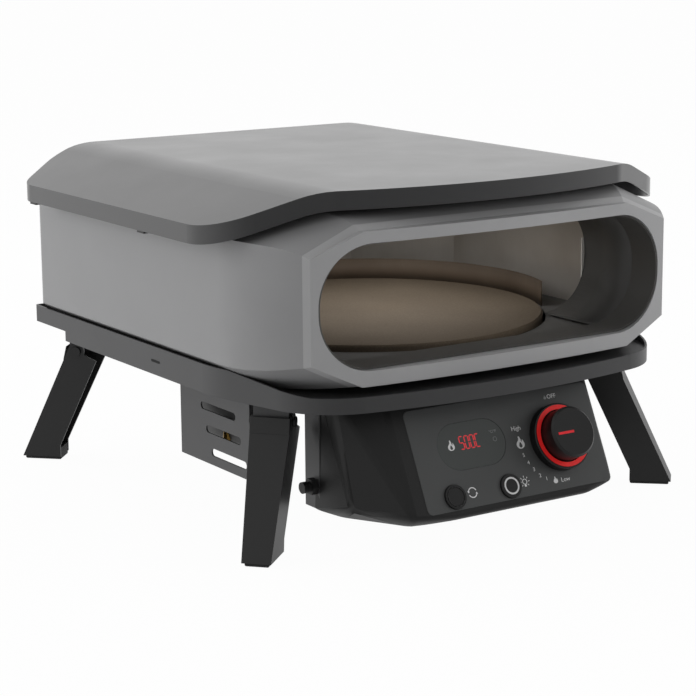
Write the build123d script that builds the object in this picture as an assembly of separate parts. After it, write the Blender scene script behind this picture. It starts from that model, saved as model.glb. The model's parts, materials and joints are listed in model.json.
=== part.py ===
from build123d import *
import math
import os

# Portable gas pizza oven on four folding legs, with a turning stone.
# Millimetres. +Z up, +X to the right seen from the front, +Y to the rear.
# The sizes below are measured from the front corners of the octagonal face (y = 0) and the ground (z = 0);
# at the end everything moves together so that the origin is the middle of the footprint.

# Clearances
seat = 0.3            # gap between pieces that rest on each other
run_fit = 0.05        # radial clearance of a shaft in its bore
slide_fit = 0.3       # radial clearance of a button in its hole
overrun = 20.0        # how far a cutting tool passes through

# Octagonal face and body shell
face_half = 188.0
face_flat_half = 140.0
face_low_half = 142.0
face_top = 276.0
face_shoulder = 257.0
face_haunch = 169.0
face_low = 147.0
face_bow = 13.0
bezel_depth = 6.0
body_half = 218.0
body_flare = 48.0       # where the flare would meet the wall without its curve
body_ease = 46.0        # half the length of that curve
body_stations = (0.0, 12.0, 30.0, 55.0)
body_rise_shares = (0.0, 0.53, 0.85, 0.97)
body_rear = 446.0
body_haunch = 158.0
body_foot_half = 186.0
body_corner = 12.0
body_eaves = 266.0
body_ridge = 290.0
body_ridge_half = 162.0
body_rim = 20.0         # width of the rim that the floor opening leaves
body_open_front = 55.0  # where that opening starts
shell_wall = 1.5

# Mouth
mouth_half = 181.0
mouth_low = 160.0
mouth_top = 266.0
mouth_corner = 50.0
sleeve_wall = 1.5
sleeve_end = 32.0

# Lid
lid_reach = 24.0        # how far the lid stands out over the body's side
lid_half = body_half + lid_reach
lid_crest_half = 163.0
lid_rise = 17.5
lid_top = body_ridge + lid_rise
lid_fall = 29.5
lid_skirt = 16.0
lid_wall = 2.0
lid_overhang = 13.0
lid_rear = body_rear + lid_overhang
lid_front = -7.0
lid_front_half = 148.0
lid_front_corner = 15.0
lid_corner_front = 67.0
lid_corner_back = 27.0
lid_corner_rear = body_rear - lid_corner_back
lid_rear_half = 188.0
lid_bend = 90.0
lid_round = 62.0        # front corners
lid_side_round = 28.0   # rear ends of the sides
lid_rear_round = 60.0   # ends of the rear edge
lid_scoop = 40.0
clip_first = 190.0
clip_last = 42.0
clip_places = (clip_first, body_rear - clip_last)
clip_length = 12.0
clip_height = 2.5

# Base tray
tray_low = 126.5
tray_floor = 136.0
tray_wall = 2.0
tray_rim = 152.0
tray_inset = 3.0
tray_half = body_half - tray_inset
tray_front = -25.0      # the middle of the bowed front
tray_front_half = 186.0
tray_front_corner = -1.0
tray_flare = 112.0      # the sides draw in ahead of this line
tray_bend = 150.0
tray_round = 70.0
tray_lip = 16.0
tray_rear = body_rear + tray_lip
tray_rear_round = 4.0
tray_drop_start = 95.0
tray_drop_end = 12.0
tray_step = 66.0
tray_rear_step = tray_rear - tray_step
tray_front_rim = 2.0

# Cooking space
liner_gap = 20.0
liner_half = body_half - liner_gap
liner_wall = 1.2
liner_front = 75.0
liner_rear_gap = 38.0
liner_rear = body_rear - liner_rear_gap
liner_bevel = 78.0
liner_cut_half = liner_half - liner_bevel
liner_cut = liner_rear - liner_bevel
liner_top = 270.0
floor_thick = 2.0
floor_top = 159.0
foot_x = 150.0
foot_front = 66.0
foot_rear = 345.0
foot_length = 20.0
stone_r = 165.0
stone_y = 201.0
stone_thick = 12.0
stone_top = 164.0
stone_edge = 1.5
stone_gap = 3.0

# Turntable drive
table_r = 120.0
table_thick = 2.0
table_hub_r = 16.0
table_arms = 6
table_window_inner = 28.0
table_window_outer = 108.0
table_arm_width = 18.0
shaft_r = 5.0
shaft_flange_r = 13.0
shaft_flange = 3.0
bush_r = 9.0
bush_flange_r = 14.0
bush_flange = 2.0
motor_r = 24.0
motor_height = 26.0
gearbox_r = 30.0
gearbox_height = 16.0
motor_plate_half = 44.0
motor_plate = 2.0
motor_drop = 12.0
motor_ear = 9.0

# Burner
burner_ring = 184.0
burner_r = 8.0
burner_z = 176.0
burner_start = 84.0
burner_sweep = 100.0
port_r = 1.6
port_count = 10
burner_foot_width = 8.0
burner_foot_shares = (0.2, 0.75)
guard_ring = 171.5
guard_wall = 1.0
guard_high = 186.0
guard_slots = 10
guard_slot = 9.0
guard_slot_height = 10.0
mixer_r = 5.0
mixer_x = -150.0
mixer_bend = 9.0
mixer_low = 86.0
mixer_bell_r = 10.0
mixer_wall = 1.0
mixer_bell = 10.0
mixer_top = 146.0
floor_hole_gap = 2.0
pipe_r = 3.0
pipe_bend = 9.0
pipe_z = 143.5
pipe_drop_x = -120.0
pipe_low = 52.0
pipe_run_z = 98.0
pipe_rise_y = 62.0
supply_z = 64.0
supply_start = 18.0     # straight stretch behind the inlet
supply_end = 33.0       # straight stretch before the turn to the valve
jet_r = 5.0
jet_height = 12.0
jet_gap = 3.0
igniter_r = 2.5
igniter_angle = 78.0
igniter_length = 34.0
sensor_angle = 74.0
electrode_r = 1.0
sensor_drop = 7.0
bracket_wall = 1.2

# Lamp
lamp_x = -96.0
lamp_y = 372.0
lamp_r = 15.0
lamp_height = 13.0
lamp_flange_r = 19.0
lamp_flange = 1.5
lamp_dome = 7.0

# Vent box
vent_inset = 38.0
vent_x = tray_half - vent_inset
vent_front = 118.0
vent_rear = 240.0
vent_low = 45.0
vent_wall = 1.5
vent_flange = 10.0
vent_slots = 3
vent_slot_length = 61.0
vent_slot_height = 7.0
vent_slot_front = 142.0
vent_slot_top = 97.0
vent_slot_pitch = 20.0
vent_slot_step = 9.0

# Legs
leg_inset = 30.5
leg_x = tray_half - leg_inset
leg_front = 66.0
leg_back = 36.5
leg_rear = tray_rear - leg_back
leg_axis_z = 111.0
leg_turn = 47.0
leg_splay = 25.0
leg_top_width = 35.5
leg_low_width = 25.5
leg_depth = 30.0
leg_wall = 2.0
leg_setback = 8.0
foot_gap = 3.5          # height of the metal above the ground
foot_height = 15.0      # up to here the flanges widen inwards
foot_deeper = 8.0
pad_height = 12.0
pad_corner = 2.0
pin_r = 3.0
pin_head_r = 4.6
pin_head = 1.6
lug_wall = 2.5
lug_r = 6.7
lug_plate = 2.5
lug_plate_depth = 26.0

# Control housing: its face line runs from (slope_top_y, slope_top_z) to (slope_low_y, slope_low_z)
house_half = 152.0
slope_top_y = 1.0
slope_top_z = 120.0
slope_low_y = -39.0
slope_low_z = 37.0
house_rear = 45.0
house_low = 31.0
house_toe = -2.5
house_wall = 2.5
bevel_start = 99.5
bevel_back_top = 3.0    # depth of the bevel at the side, at the top and at the foot of the slope
bevel_back_low = 29.0
house_round = 5.0
panel_half = 98.5
panel_thick = 3.0
panel_corner = 5.0
panel_edge = 1.2
panel_round = 0.5
panel_margin = 1.0

# Side bracket behind the housing
side_rear = 69.5
side_low = 32.0
side_wall = 1.5
side_slot_front = 60.0
side_slot_width = 5.0
side_slot_low = 66.0
side_slot_high = 88.0

# On the panel: x across, s up the slope from its lower edge
display_x = -37.5
display_s = 54.0
display_width = 71.0
display_height = 41.0
window_thick = 2.0
board_thick = 1.6
digits_height = 4.0
button_r = 10.5
button_rise = 2.0
button_travel = 1.5
button_flange = 1.5
button_collar = 1.2
stem_r = 3.0
rotate_x = -68.0
rotate_s = 12.6
light_x = -9.5
light_s = 12.5
light_ring_r = 7.6
light_ring_width = 1.5
light_ring_depth = 0.8
switch_half = 3.0
switch_height = 4.0
switch_tip = 1.0
knob_x = 53.0
knob_s = 46.0
base_edge = 1.8
base_height = 8.5
base_floor = 4.0
knob_gap = 1.2
glow_width = 4.0
glow_depth = 1.2
knob_r = 22.5
base_r = knob_r + knob_gap + glow_width + base_edge
knob_low = 7.5
knob_high = 25.0
knob_chamfer = 2.0
knob_push = 3.0
knob_wall = 3.0
spindle_r = 3.0
spindle_depth = 9.0
valve_width = 26.0
valve_height = 30.0
valve_depth = 22.0
valve_gap = 6.0
valve_neck_r = 8.0
valve_boss = 3.0
valve_round = 2.0
pcb_low = 9.0
pcb_high = 82.0
post_r = 2.2
post_x = 30.0
post_low = 28.5
post_high = 78.0
inlet_y = 53.0
inlet_z = 52.0
inlet_hex = 7.5
inlet_hex_length = 5.5
inlet_r = 4.5
inlet_length = 13.0
inlet_thread_gap = 2.0


# Planes that the piece outlines are drawn on
def slab_y(sketch, y0, y1):
    """Extrude a sketch drawn in X and Z from y0 back to y1."""
    plane = Plane((0, y1, 0), x_dir=(1, 0, 0), z_dir=(0, -1, 0))
    return extrude(plane * sketch, y1 - y0)


def slab_x(sketch, x0, x1):
    """Extrude a sketch drawn in Y and Z from x0 to x1."""
    plane = Plane((x0, 0, 0), x_dir=(0, 1, 0), z_dir=(1, 0, 0))
    return extrude(plane * sketch, x1 - x0)


def slab_z(sketch, z0, z1):
    """Extrude a sketch drawn in X and Y from z0 up to z1."""
    return Pos(0, 0, z0) * extrude(sketch, z1 - z0)


def shape(points):
    return make_face(Polyline(*points, close=True))


def rounded(face, corners):
    """Round the corner nearest each point of a flat outline."""
    for x, y, radius in corners:
        corner = face.vertices().sort_by_distance((x, y, 0))[0]
        face = fillet(corner, radius)
    return face


def mirrored(points):
    """A right-hand outline and its left-hand mirror image, in order."""
    return points + [(-x, y) for x, y in reversed(points)]


def bowed(half, crest, nose, rest):
    """Plan outline whose front is an arc from (-half, crest) through (0, nose) to (half, crest)."""
    arc = ThreePointArc((-half, crest), (0, nose), (half, crest))
    side = Polyline((half, crest), *rest, *[(-x, y) for x, y in reversed(rest)], (-half, crest))
    return make_face(arc + side)


# Slope of the control face, and a plane on it: x across, y up the slope, z out of the face
slope_dy = slope_top_y - slope_low_y
slope_dz = slope_top_z - slope_low_z
slope_length = math.hypot(slope_dy, slope_dz)
slope_up = (0, slope_dy / slope_length, slope_dz / slope_length)
slope_out = (0, -slope_dz / slope_length, slope_dy / slope_length)
face_plane = Plane((0, slope_low_y, slope_low_z), x_dir=(1, 0, 0), z_dir=slope_out)


def on_face(x, s, h, item):
    """Place an item on the control face at x, s and height h above it."""
    return face_plane * Pos(x, s, h) * item


def rod(radius, low, high):
    """A round bar along +Z from low to high."""
    return Pos(0, 0, low) * Cylinder(radius, high - low, align=(Align.CENTER, Align.CENTER, Align.MIN))


def block(x0, x1, y0, y1, z0, z1):
    size = Box(x1 - x0, y1 - y0, z1 - z0, align=(Align.MIN, Align.MIN, Align.MIN))
    return Pos(x0, y0, z0) * size


# Body: octagon sections that swell from the face to the walls in a curve, trimmed by a rounded plan
def body_section(side_share, rise_share, inset):
    """An octagon between the face's (shares 0) and the wall's (shares 1), at one place along the depth."""
    face_points = [(face_low_half, face_low + inset), (face_half - inset, face_haunch),
                   (face_half - inset, face_shoulder), (face_flat_half, face_top - inset)]
    wall_points = [(body_foot_half, tray_floor + tray_wall + seat + inset), (body_half - inset, body_haunch),
                   (body_half - inset, body_eaves), (body_ridge_half, body_ridge - inset)]
    shares = ((side_share, side_share), (side_share, side_share), (side_share, rise_share), (side_share, rise_share))
    points = []
    for a, b, (across, up) in zip(face_points, wall_points, shares):
        points.append((a[0] + across * (b[0] - a[0]), a[1] + up * (b[1] - a[1])))
    return mirrored(points)


def side_share(y):
    """How far the side has swelled at a depth: straight at first, then eased into the wall."""
    left = body_flare + body_ease - y
    return 1 - left * left / (4 * body_ease * body_flare)


def body_solid(inset):
    """The body's outer form, or its hollow when inset by the wall."""
    wall_y = body_flare + body_ease
    stations = [(0, 0, 0)] + [(y, side_share(y), rise) for y, rise in zip(body_stations, body_rise_shares) if y > 0]
    stations.append((wall_y, 1, 1))
    faces = [Plane((0, y, 0), x_dir=(1, 0, 0), z_dir=(0, -1, 0)) * shape(body_section(side, rise, inset))
             for y, side, rise in stations]
    flare = loft(faces)
    walls = slab_y(shape(body_section(1, 1, inset)), wall_y, body_rear)
    nose = slab_y(shape(body_section(0, 0, inset)), -face_bow - overrun, 0)
    plan = bowed(face_half, 0, -face_bow, [(body_half + overrun, 0), (body_half + overrun, wall_y),
                                           (body_half - inset, wall_y), (body_half - inset, body_rear - inset)])
    corner = body_corner - inset
    plan = rounded(plan, [(body_half, body_rear, corner), (-body_half, body_rear, corner)])
    return (flare + walls + nose) & slab_z(plan, 0, lid_top)


def mouth_outline(grow):
    centre = (mouth_low + mouth_top) / 2
    height = mouth_top - mouth_low + 2 * grow
    return Pos(0, centre) * RectangleRounded(2 * (mouth_half + grow), height, mouth_corner + grow)


def make_body():
    outer = body_solid(0)
    hollow = body_solid(shell_wall)
    shell = outer - hollow
    shell -= block(-face_half - overrun, face_half + overrun, -face_bow - overrun, bezel_depth,
                   0, lid_top)
    # the underside is open to the tray but for a rim round its edge
    flange = body_foot_half - body_rim
    shell -= block(-flange, flange, body_open_front, body_rear - body_rim,
                   tray_floor, tray_floor + tray_wall + seat + 3 * shell_wall)
    return shell


def make_bezel():
    outer = body_solid(0)
    front = outer & block(-face_half - overrun, face_half + overrun, -face_bow - overrun, bezel_depth, 0, lid_top)
    bezel = front - slab_y(mouth_outline(0), -face_bow - overrun, bezel_depth + overrun)
    return bezel


def make_sleeve():
    ring = slab_y(mouth_outline(-seat), bezel_depth - face_bow / 2, sleeve_end)
    return ring - slab_y(mouth_outline(-seat - sleeve_wall), -face_bow - overrun, sleeve_end + overrun)


# Lid: a folded roof band trimmed by its plan, then hollowed from below
def roof_band(drop, depth):
    """The space between the roof line lowered by drop and that lowered by drop and depth."""
    reach = lid_half + overrun
    eave = lid_top - lid_fall * (reach - lid_crest_half) / (lid_half - lid_crest_half)
    top = mirrored([(reach, eave - drop), (lid_crest_half, lid_top - drop)])
    points = top + [(-reach, eave - drop - depth), (-lid_crest_half, lid_top - drop - depth),
                                  (lid_crest_half, lid_top - drop - depth), (reach, eave - drop - depth)]
    face = shape(points)
    folds = [(side * lid_crest_half, lid_top - level, lid_bend) for side in (-1, 1)
             for level in (drop, drop + depth)]
    return slab_y(rounded(face, folds), lid_front - overrun, lid_rear + overrun)


def lid_plan():
    face = bowed(lid_front_half, lid_front_corner, lid_front,
                 [(lid_half, lid_corner_front), (lid_half, lid_corner_rear), (lid_rear_half, lid_rear)])
    corners = []
    for side in (-1, 1):
        corners += [(side * lid_half, lid_corner_front, lid_round), (side * lid_half, lid_corner_rear, lid_side_round),
                    (side * lid_rear_half, lid_rear, lid_rear_round),
                    (side * lid_front_half, lid_front_corner, lid_scoop)]
    return rounded(face, corners)


def make_lid():
    plan = lid_plan()
    outer = roof_band(0, lid_skirt) & slab_z(plan, 0, lid_top + overrun)
    inner = roof_band(lid_wall, lid_skirt + overrun) & slab_z(offset(plan, -lid_wall), 0, lid_top + overrun)
    return outer - inner


def roof_height(x):
    return lid_top - lid_fall * max(0, abs(x) - lid_crest_half) / (lid_half - lid_crest_half)


def make_clips():
    clips = []
    for side in (-1, 1):
        inner = body_half + seat
        outer = lid_half - lid_wall - seat
        for y in clip_places:
            high = roof_height(outer) - lid_wall - seat
            low = roof_height(lid_half) - lid_skirt - clip_height
            x0, x1 = sorted((side * inner, side * outer))
            clips.append(block(x0, x1, y - clip_length / 2, y + clip_length / 2, low, high))
    return clips


# Base tray: a pan whose floor sits part way up, so that a skirt hangs below it
def tray_outline(inset):
    """Plan of the tray: straight sides that draw in towards a bowed front."""
    face = bowed(tray_front_half, tray_front_corner, tray_front, [(tray_half, tray_flare), (tray_half, tray_rear)])
    corners = []
    for side in (-1, 1):
        corners += [(side * tray_half, tray_rear, tray_rear_round), (side * tray_half, tray_flare, tray_bend),
                    (side * tray_front_half, tray_front_corner, tray_round)]
    face = rounded(face, corners)
    return offset(face, -inset) if inset else face


def make_tray():
    inner = tray_outline(tray_wall)
    tray = slab_z(tray_outline(0), tray_low, tray_rim)
    tray -= slab_z(inner, tray_floor + tray_wall, tray_rim + overrun)
    tray -= slab_z(inner, tray_low - overrun, tray_floor)
    # the rim drops to the floor's level along the front
    front_top = tray_floor + tray_wall + tray_front_rim
    drop = [(tray_drop_start, tray_rim + overrun), (tray_drop_start, tray_rim), (tray_drop_end, front_top),
            (tray_front - overrun, front_top), (tray_front - overrun, tray_rim + overrun)]
    tray -= slab_x(shape(drop), -tray_half - overrun, tray_half + overrun)
    # the hanging skirt stops short of the rear
    tray -= block(-tray_half - overrun, tray_half + overrun, tray_rear_step, tray_rear + overrun,
                  tray_low - overrun, tray_floor)
    tray -= Pos(0, stone_y, 0) * rod(bush_r + seat, tray_floor - overrun, tray_floor + overrun)
    tray -= Pos(mixer_x, stone_y, 0) * rod(mixer_r + floor_hole_gap, tray_floor - overrun, tray_floor + overrun)
    tray -= Pos(pipe_drop_x, stone_y, 0) * rod(pipe_r + floor_hole_gap, tray_floor - overrun, tray_floor + overrun)
    tray -= Pos(knob_x, pipe_rise_y, 0) * rod(pipe_r + floor_hole_gap, tray_floor - overrun, tray_floor + overrun)
    return tray


# Cooking space
def liner_outline(inset):
    k = inset * math.tan(math.radians(22.5))
    return [(mouth_half - inset, sleeve_end), (liner_half - inset, liner_front + k / 2),
            (liner_half - inset, liner_cut - k), (liner_cut_half - k, liner_rear - inset)]


def make_liner():
    liner_low = floor_top + seat
    outer = slab_z(shape(mirrored(liner_outline(0))), liner_low, liner_top)
    inner = slab_z(shape(mirrored(liner_outline(liner_wall))), liner_low - overrun, liner_top + overrun)
    front = block(-liner_half, liner_half, 0, sleeve_end + 2 * liner_wall, 0, lid_top)
    lamp = Pos(lamp_x, lamp_y, 0) * rod(lamp_flange_r + seat, 0, lid_top)
    return outer - inner - front - lamp


def make_liner_roof():
    plate = slab_z(shape(mirrored(liner_outline(0))), liner_top + seat, liner_top + seat + liner_wall)
    plate -= Pos(lamp_x, lamp_y, 0) * rod(lamp_r + seat, 0, lid_top)
    return plate


def make_floor():
    plan = mirrored([(mouth_half - mouth_corner, bezel_depth + seat), (mouth_half - mouth_corner, sleeve_end + seat),
                     (mouth_half, sleeve_end + seat), (liner_half, liner_front), (liner_half, liner_cut),
                     (liner_cut_half, liner_rear)])
    plate = slab_z(shape(plan), floor_top - floor_thick, floor_top)
    plate -= Pos(0, stone_y, 0) * rod(stone_r + stone_gap, 0, lid_top)
    plate -= Pos(-burner_ring, stone_y, 0) * rod(mixer_r + floor_hole_gap, 0, lid_top)
    # folded feet stand on the tray floor
    for side in (-1, 1):
        for y in (foot_front, foot_rear):
            x0, x1 = sorted((side * foot_x, side * (foot_x - floor_thick)))
            plate += block(x0, x1, y, y + foot_length, tray_floor + tray_wall + seat, floor_top - floor_thick)
    return plate


def make_stone():
    stone = Pos(0, stone_y, 0) * rod(stone_r, stone_top - stone_thick, stone_top)
    return chamfer(stone.edges(), stone_edge)


def make_turntable():
    top = stone_top - stone_thick
    plate = rod(table_r, top - table_thick, top)
    gap = Sketch() + Circle(table_window_outer) - Circle(table_window_inner)
    for i in range(table_arms):
        gap -= Rot(0, 0, i * 360 / table_arms) * Rectangle(table_arm_width, table_window_outer,
                                                             align=(Align.CENTER, Align.MIN))
    plate -= Pos(0, 0, top - table_thick - overrun) * extrude(gap, 2 * overrun)
    plate += rod(table_hub_r, table_seat, top - table_thick)
    plate -= rod(shaft_r + run_fit, table_seat - overrun, top - table_thick)
    return Pos(0, stone_y, 0) * plate


table_seat = tray_floor + tray_wall + bush_flange + 3 * seat


def make_shaft():
    top = stone_top - stone_thick - table_thick - seat
    return Pos(0, stone_y, 0) * rod(shaft_r, gearbox_top + shaft_flange + seat, top)


def make_bush():
    bush = rod(bush_r, tray_floor - bush_flange, tray_floor + tray_wall + seat)
    bush += rod(bush_flange_r, tray_floor + tray_wall + seat, tray_floor + tray_wall + seat + bush_flange)
    bush -= rod(shaft_r + run_fit, 0, lid_top)
    return Pos(0, stone_y, 0) * bush


gearbox_top = tray_floor - motor_drop - motor_plate
gearbox_low = gearbox_top - gearbox_height


def make_motor():
    motor = rod(gearbox_r, gearbox_low, gearbox_top)
    motor += Pos(0, motor_ear, 0) * rod(motor_r, gearbox_low - motor_height, gearbox_low)
    motor = fillet(motor.edges().group_by(Axis.Z)[0], house_round / 2)
    motor += rod(shaft_flange_r, gearbox_top, gearbox_top + shaft_flange)
    return Pos(0, stone_y, 0) * motor


def make_motor_bracket():
    """A hat-shaped strap: it holds the gearbox below the tray floor."""
    half = motor_plate_half
    low = gearbox_top + seat
    high = tray_floor - seat
    t = motor_plate
    hat = [(-half - 2 * motor_ear, high), (-half - 2 * motor_ear, high - t), (-half - t, high - t), (-half - t, low),
           (half + t, low), (half + t, high - t), (half + 2 * motor_ear, high - t), (half + 2 * motor_ear, high),
           (half, high), (half, low + t - seat), (-half, low + t - seat), (-half, high)]
    strap = slab_y(shape(hat), stone_y - gearbox_r, stone_y + gearbox_r)
    return strap - Pos(0, stone_y, 0) * rod(shaft_flange_r + seat, 0, lid_top)


# Burner: a tube bent round the stone, with ports that face it
def arc_tube(ring, radius, z, start, turn):
    section = Plane((ring, 0, z), x_dir=(1, 0, 0), z_dir=(0, -1, 0)) * Circle(radius)
    return Pos(0, stone_y, 0) * Rot(0, 0, start) * revolve(section, axis=Axis.Z, revolution_arc=turn)


def sweep_tube(spine, radius):
    start = Plane(spine @ 0, z_dir=spine % 0)
    return sweep(start * Circle(radius), path=spine)


def make_burner():
    tube = arc_tube(burner_ring, burner_r, burner_z, burner_start, burner_sweep)
    # welded feet stand on the floor plate
    foot = block(burner_ring - burner_foot_width / 2, burner_ring + burner_foot_width / 2, -floor_thick / 2,
                 floor_thick / 2, floor_top + seat, burner_z)
    for share in burner_foot_shares:
        tube += Pos(0, stone_y, 0) * Rot(0, 0, burner_start + share * burner_sweep) * foot
    step = burner_sweep / (port_count + 1)
    for i in range(port_count):
        angle = burner_start + (i + 1) * step
        port = Pos(0, stone_y, burner_z) * Rot(0, 0, angle) * Pos(burner_ring - burner_r, 0, 0)
        tube -= port * Rot(0, 90, 0) * Cylinder(port_r, 2 * burner_r - 2 * port_r)
    return tube


def make_guard():
    start, turn = burner_start, burner_sweep
    outer = Circle(guard_ring + guard_wall) - Circle(guard_ring)
    wedge = sector(start, start + turn, 2 * guard_ring)
    guard_low = floor_top + seat
    band = Pos(0, stone_y, 0) * slab_z(outer & wedge, guard_low, guard_high)
    step = turn / guard_slots
    for i in range(guard_slots):
        angle = start + (i + 0.5) * step
        cut = Box(4 * guard_wall, guard_slot, guard_slot_height)
        band -= Pos(0, stone_y, (guard_low + guard_high) / 2) * Rot(0, 0, angle) * Pos(guard_ring, 0, 0) * cut
    return band


def sector(a0, a1, reach):
    mid = (a0 + a1) / 2
    points = [(0, 0)] + [(reach * math.cos(math.radians(a)), reach * math.sin(math.radians(a))) for a in (a0, mid, a1)]
    return shape(points)


def make_mixer():
    """The tube that draws in air and carries the mixture up into the burner."""
    path = FilletPolyline((mixer_x, stone_y, mixer_low), (mixer_x, stone_y, mixer_top),
                          (-burner_ring, stone_y, mixer_top), (-burner_ring, stone_y, burner_z - burner_r - seat),
                          radius=mixer_bend)
    tube = sweep_tube(path, mixer_r)
    bell = Pos(mixer_x, stone_y, mixer_low - mixer_bell) * Cone(mixer_bell_r, mixer_r, mixer_bell,
                                                              align=(Align.CENTER, Align.CENTER, Align.MIN))
    bore = Pos(mixer_x, stone_y, 0) * rod(mixer_r - mixer_wall, 0, mixer_top - mixer_bend)
    flare = Pos(mixer_x, stone_y, mixer_low - mixer_bell) * Cone(
        mixer_bell_r - mixer_wall, mixer_r - mixer_wall, mixer_bell, align=(Align.CENTER, Align.CENTER, Align.MIN))
    return tube + bell - bore - flare


jet_top = mixer_low - mixer_bell - jet_gap
valve_s = knob_s
valve_back = house_wall + panel_thick + valve_gap
valve_in = valve_back + valve_depth / 2
valve_pipe_y = slope_low_y + valve_s * slope_up[1] - valve_in * slope_out[1]
valve_pipe_z = slope_low_z + valve_s * slope_up[2] - valve_in * slope_out[2]


def make_jet():
    jet = rod(jet_r, jet_top - jet_height, jet_top - jet_height / 2)
    jet += Pos(0, 0, jet_top - jet_height / 2) * Cone(jet_r, jet_r / 2, jet_height / 2,
                                                   align=(Align.CENTER, Align.CENTER, Align.MIN))
    return Pos(mixer_x, stone_y, 0) * jet


def make_pipe():
    """From the valve back and up through the tray floor, under the stone and down to the jet."""
    start = valve_pipe_z + valve_height / 2 + valve_boss + seat
    path = FilletPolyline((knob_x, valve_pipe_y, start), (knob_x, valve_pipe_y, pipe_run_z),
                          (knob_x, pipe_rise_y, pipe_run_z), (knob_x, pipe_rise_y, pipe_z),
                          (pipe_drop_x, stone_y, pipe_z), (pipe_drop_x, stone_y, pipe_low),
                          (mixer_x, stone_y, pipe_low), (mixer_x, stone_y, jet_top - jet_height - seat),
                          radius=[pipe_bend, pipe_bend, pipe_bend, pipe_bend, pipe_bend, pipe_bend / 2])
    return sweep_tube(path, pipe_r)


def make_supply():
    """From the gas inlet across behind the housing, then forward to the valve."""
    first = -house_half + side_wall + seat
    end = valve_pipe_y + valve_depth / 2 + valve_boss + seat
    path = FilletPolyline((first, inlet_y, inlet_z), (first + supply_start, inlet_y, inlet_z),
                          (knob_x - supply_end, inlet_y, supply_z), (knob_x, inlet_y, supply_z),
                          (knob_x, end, supply_z), radius=pipe_bend)
    return sweep_tube(path, pipe_r)


def make_valve():
    body = Box(valve_width, valve_height, valve_depth)
    body = fillet(body.edges(), valve_round)
    neck = rod(valve_neck_r, valve_depth / 2, valve_depth / 2 + valve_gap - seat)
    bore = rod(spindle_r + run_fit, valve_depth / 2 - spindle_depth, valve_depth)
    middle_of = face_plane * Pos(knob_x, valve_s, -valve_back - valve_depth / 2)
    # bosses for the two pipes: one on top and one behind
    boss = rod(pipe_r + valve_boss, valve_pipe_z, valve_pipe_z + valve_height / 2 + valve_boss)
    behind = slab_y(Pos(knob_x, supply_z) * Circle(pipe_r + valve_boss), valve_pipe_y,
                    valve_pipe_y + valve_depth / 2 + valve_boss)
    return middle_of * (body + neck) + Pos(knob_x, valve_pipe_y, 0) * boss + behind - middle_of * bore


def make_spindle():
    """It slides in the valve with the knob and carries it."""
    low = -valve_back - spindle_depth + knob_push + seat
    high = knob_high - knob_wall - seat
    stem = rod(spindle_r, low, high)
    return on_face(knob_x, knob_s, 0, stem)


def make_inlet():
    start = -house_half - seat
    hexagon = RegularPolygon(inlet_hex, 6)
    nut = slab_x(Pos(inlet_y, inlet_z) * hexagon, start - inlet_hex_length, start)
    spigot = slab_x(Pos(inlet_y, inlet_z) * Circle(inlet_r), start - inlet_length, start - inlet_hex_length)
    for i in range(3):
        at = start - inlet_length + i * inlet_thread_gap
        barb = slab_x(Pos(inlet_y, inlet_z) * Circle(inlet_r + inlet_thread_gap / 4), at, at + inlet_thread_gap / 2)
        spigot += barb
    return nut + spigot


def probe(angle, length):
    """An upright ceramic rod with a thin wire on top, beside the burner."""
    turn = Pos(0, stone_y, 0) * Rot(0, 0, angle) * Pos(burner_ring, 0, 0)
    post = rod(igniter_r, floor_top + bracket_wall + 2 * seat, floor_top + length * 2 / 3)
    wire = rod(electrode_r, floor_top + length * 2 / 3, floor_top + length)
    return turn * (post + wire)


def make_igniter():
    return probe(igniter_angle, igniter_length)


def make_sensor():
    return probe(sensor_angle, igniter_length - sensor_drop)


def make_probe_bracket():
    """A small folded foot under both rods."""
    arc = Circle(burner_ring + 2 * burner_r) - Circle(burner_ring - burner_r)
    plan = arc & sector(sensor_angle - igniter_r, igniter_angle + igniter_r, 2 * guard_ring)
    return Pos(0, stone_y, 0) * slab_z(plan, floor_top + seat, floor_top + seat + bracket_wall)


# Lamp in the rear left of the roof
def make_lamp():
    low = liner_top
    can = rod(lamp_r, low, low + lamp_height)
    can += rod(lamp_flange_r, low - lamp_flange, low)
    return Pos(lamp_x, lamp_y, 0) * can


def make_lens():
    top = liner_top - lamp_flange - seat
    ball_r = (lamp_r ** 2 + lamp_dome ** 2) / (2 * lamp_dome)
    cap = Pos(0, 0, top - lamp_dome + ball_r) * Sphere(ball_r)
    cap = cap & rod(lamp_r, top - lamp_dome, top)
    return Pos(lamp_x, lamp_y, 0) * cap


# Vent box: folded sheet, open below, with staggered slots
def make_vent():
    x0 = -vent_x
    high = tray_floor - seat
    wall = block(x0, x0 + vent_wall, vent_front, vent_rear, vent_low, high)
    for y in (vent_front, vent_rear - vent_wall):
        wall += block(x0, x0 + vent_flange, y, y + vent_wall, vent_low, high)
    wall += block(x0, x0 + vent_flange, vent_front, vent_rear, high - vent_wall, high)
    for i in range(vent_slots):
        z = vent_slot_top - i * vent_slot_pitch
        y = vent_slot_front - i * vent_slot_step + vent_slot_length / 2
        slot = Pos(y, z) * SlotOverall(vent_slot_length, vent_slot_height)
        wall -= slab_x(slot, x0 - overrun, x0 + overrun)
    return wall


# Legs, drawn hanging straight down from the hinge axis along X, then splayed and turned
def channel(width, depth, wall):
    """A U section: the outer face is at -leg_setback, the flanges point inwards."""
    w, d, t = width / 2, depth, wall
    y0 = -leg_setback
    return shape([(-w, y0), (w, y0), (w, y0 + d), (w - t, y0 + d), (w - t, y0 + t),
                  (-w + t, y0 + t), (-w + t, y0 + d), (-w, y0 + d)])


leg_length = leg_axis_z / math.cos(math.radians(leg_splay))


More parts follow.
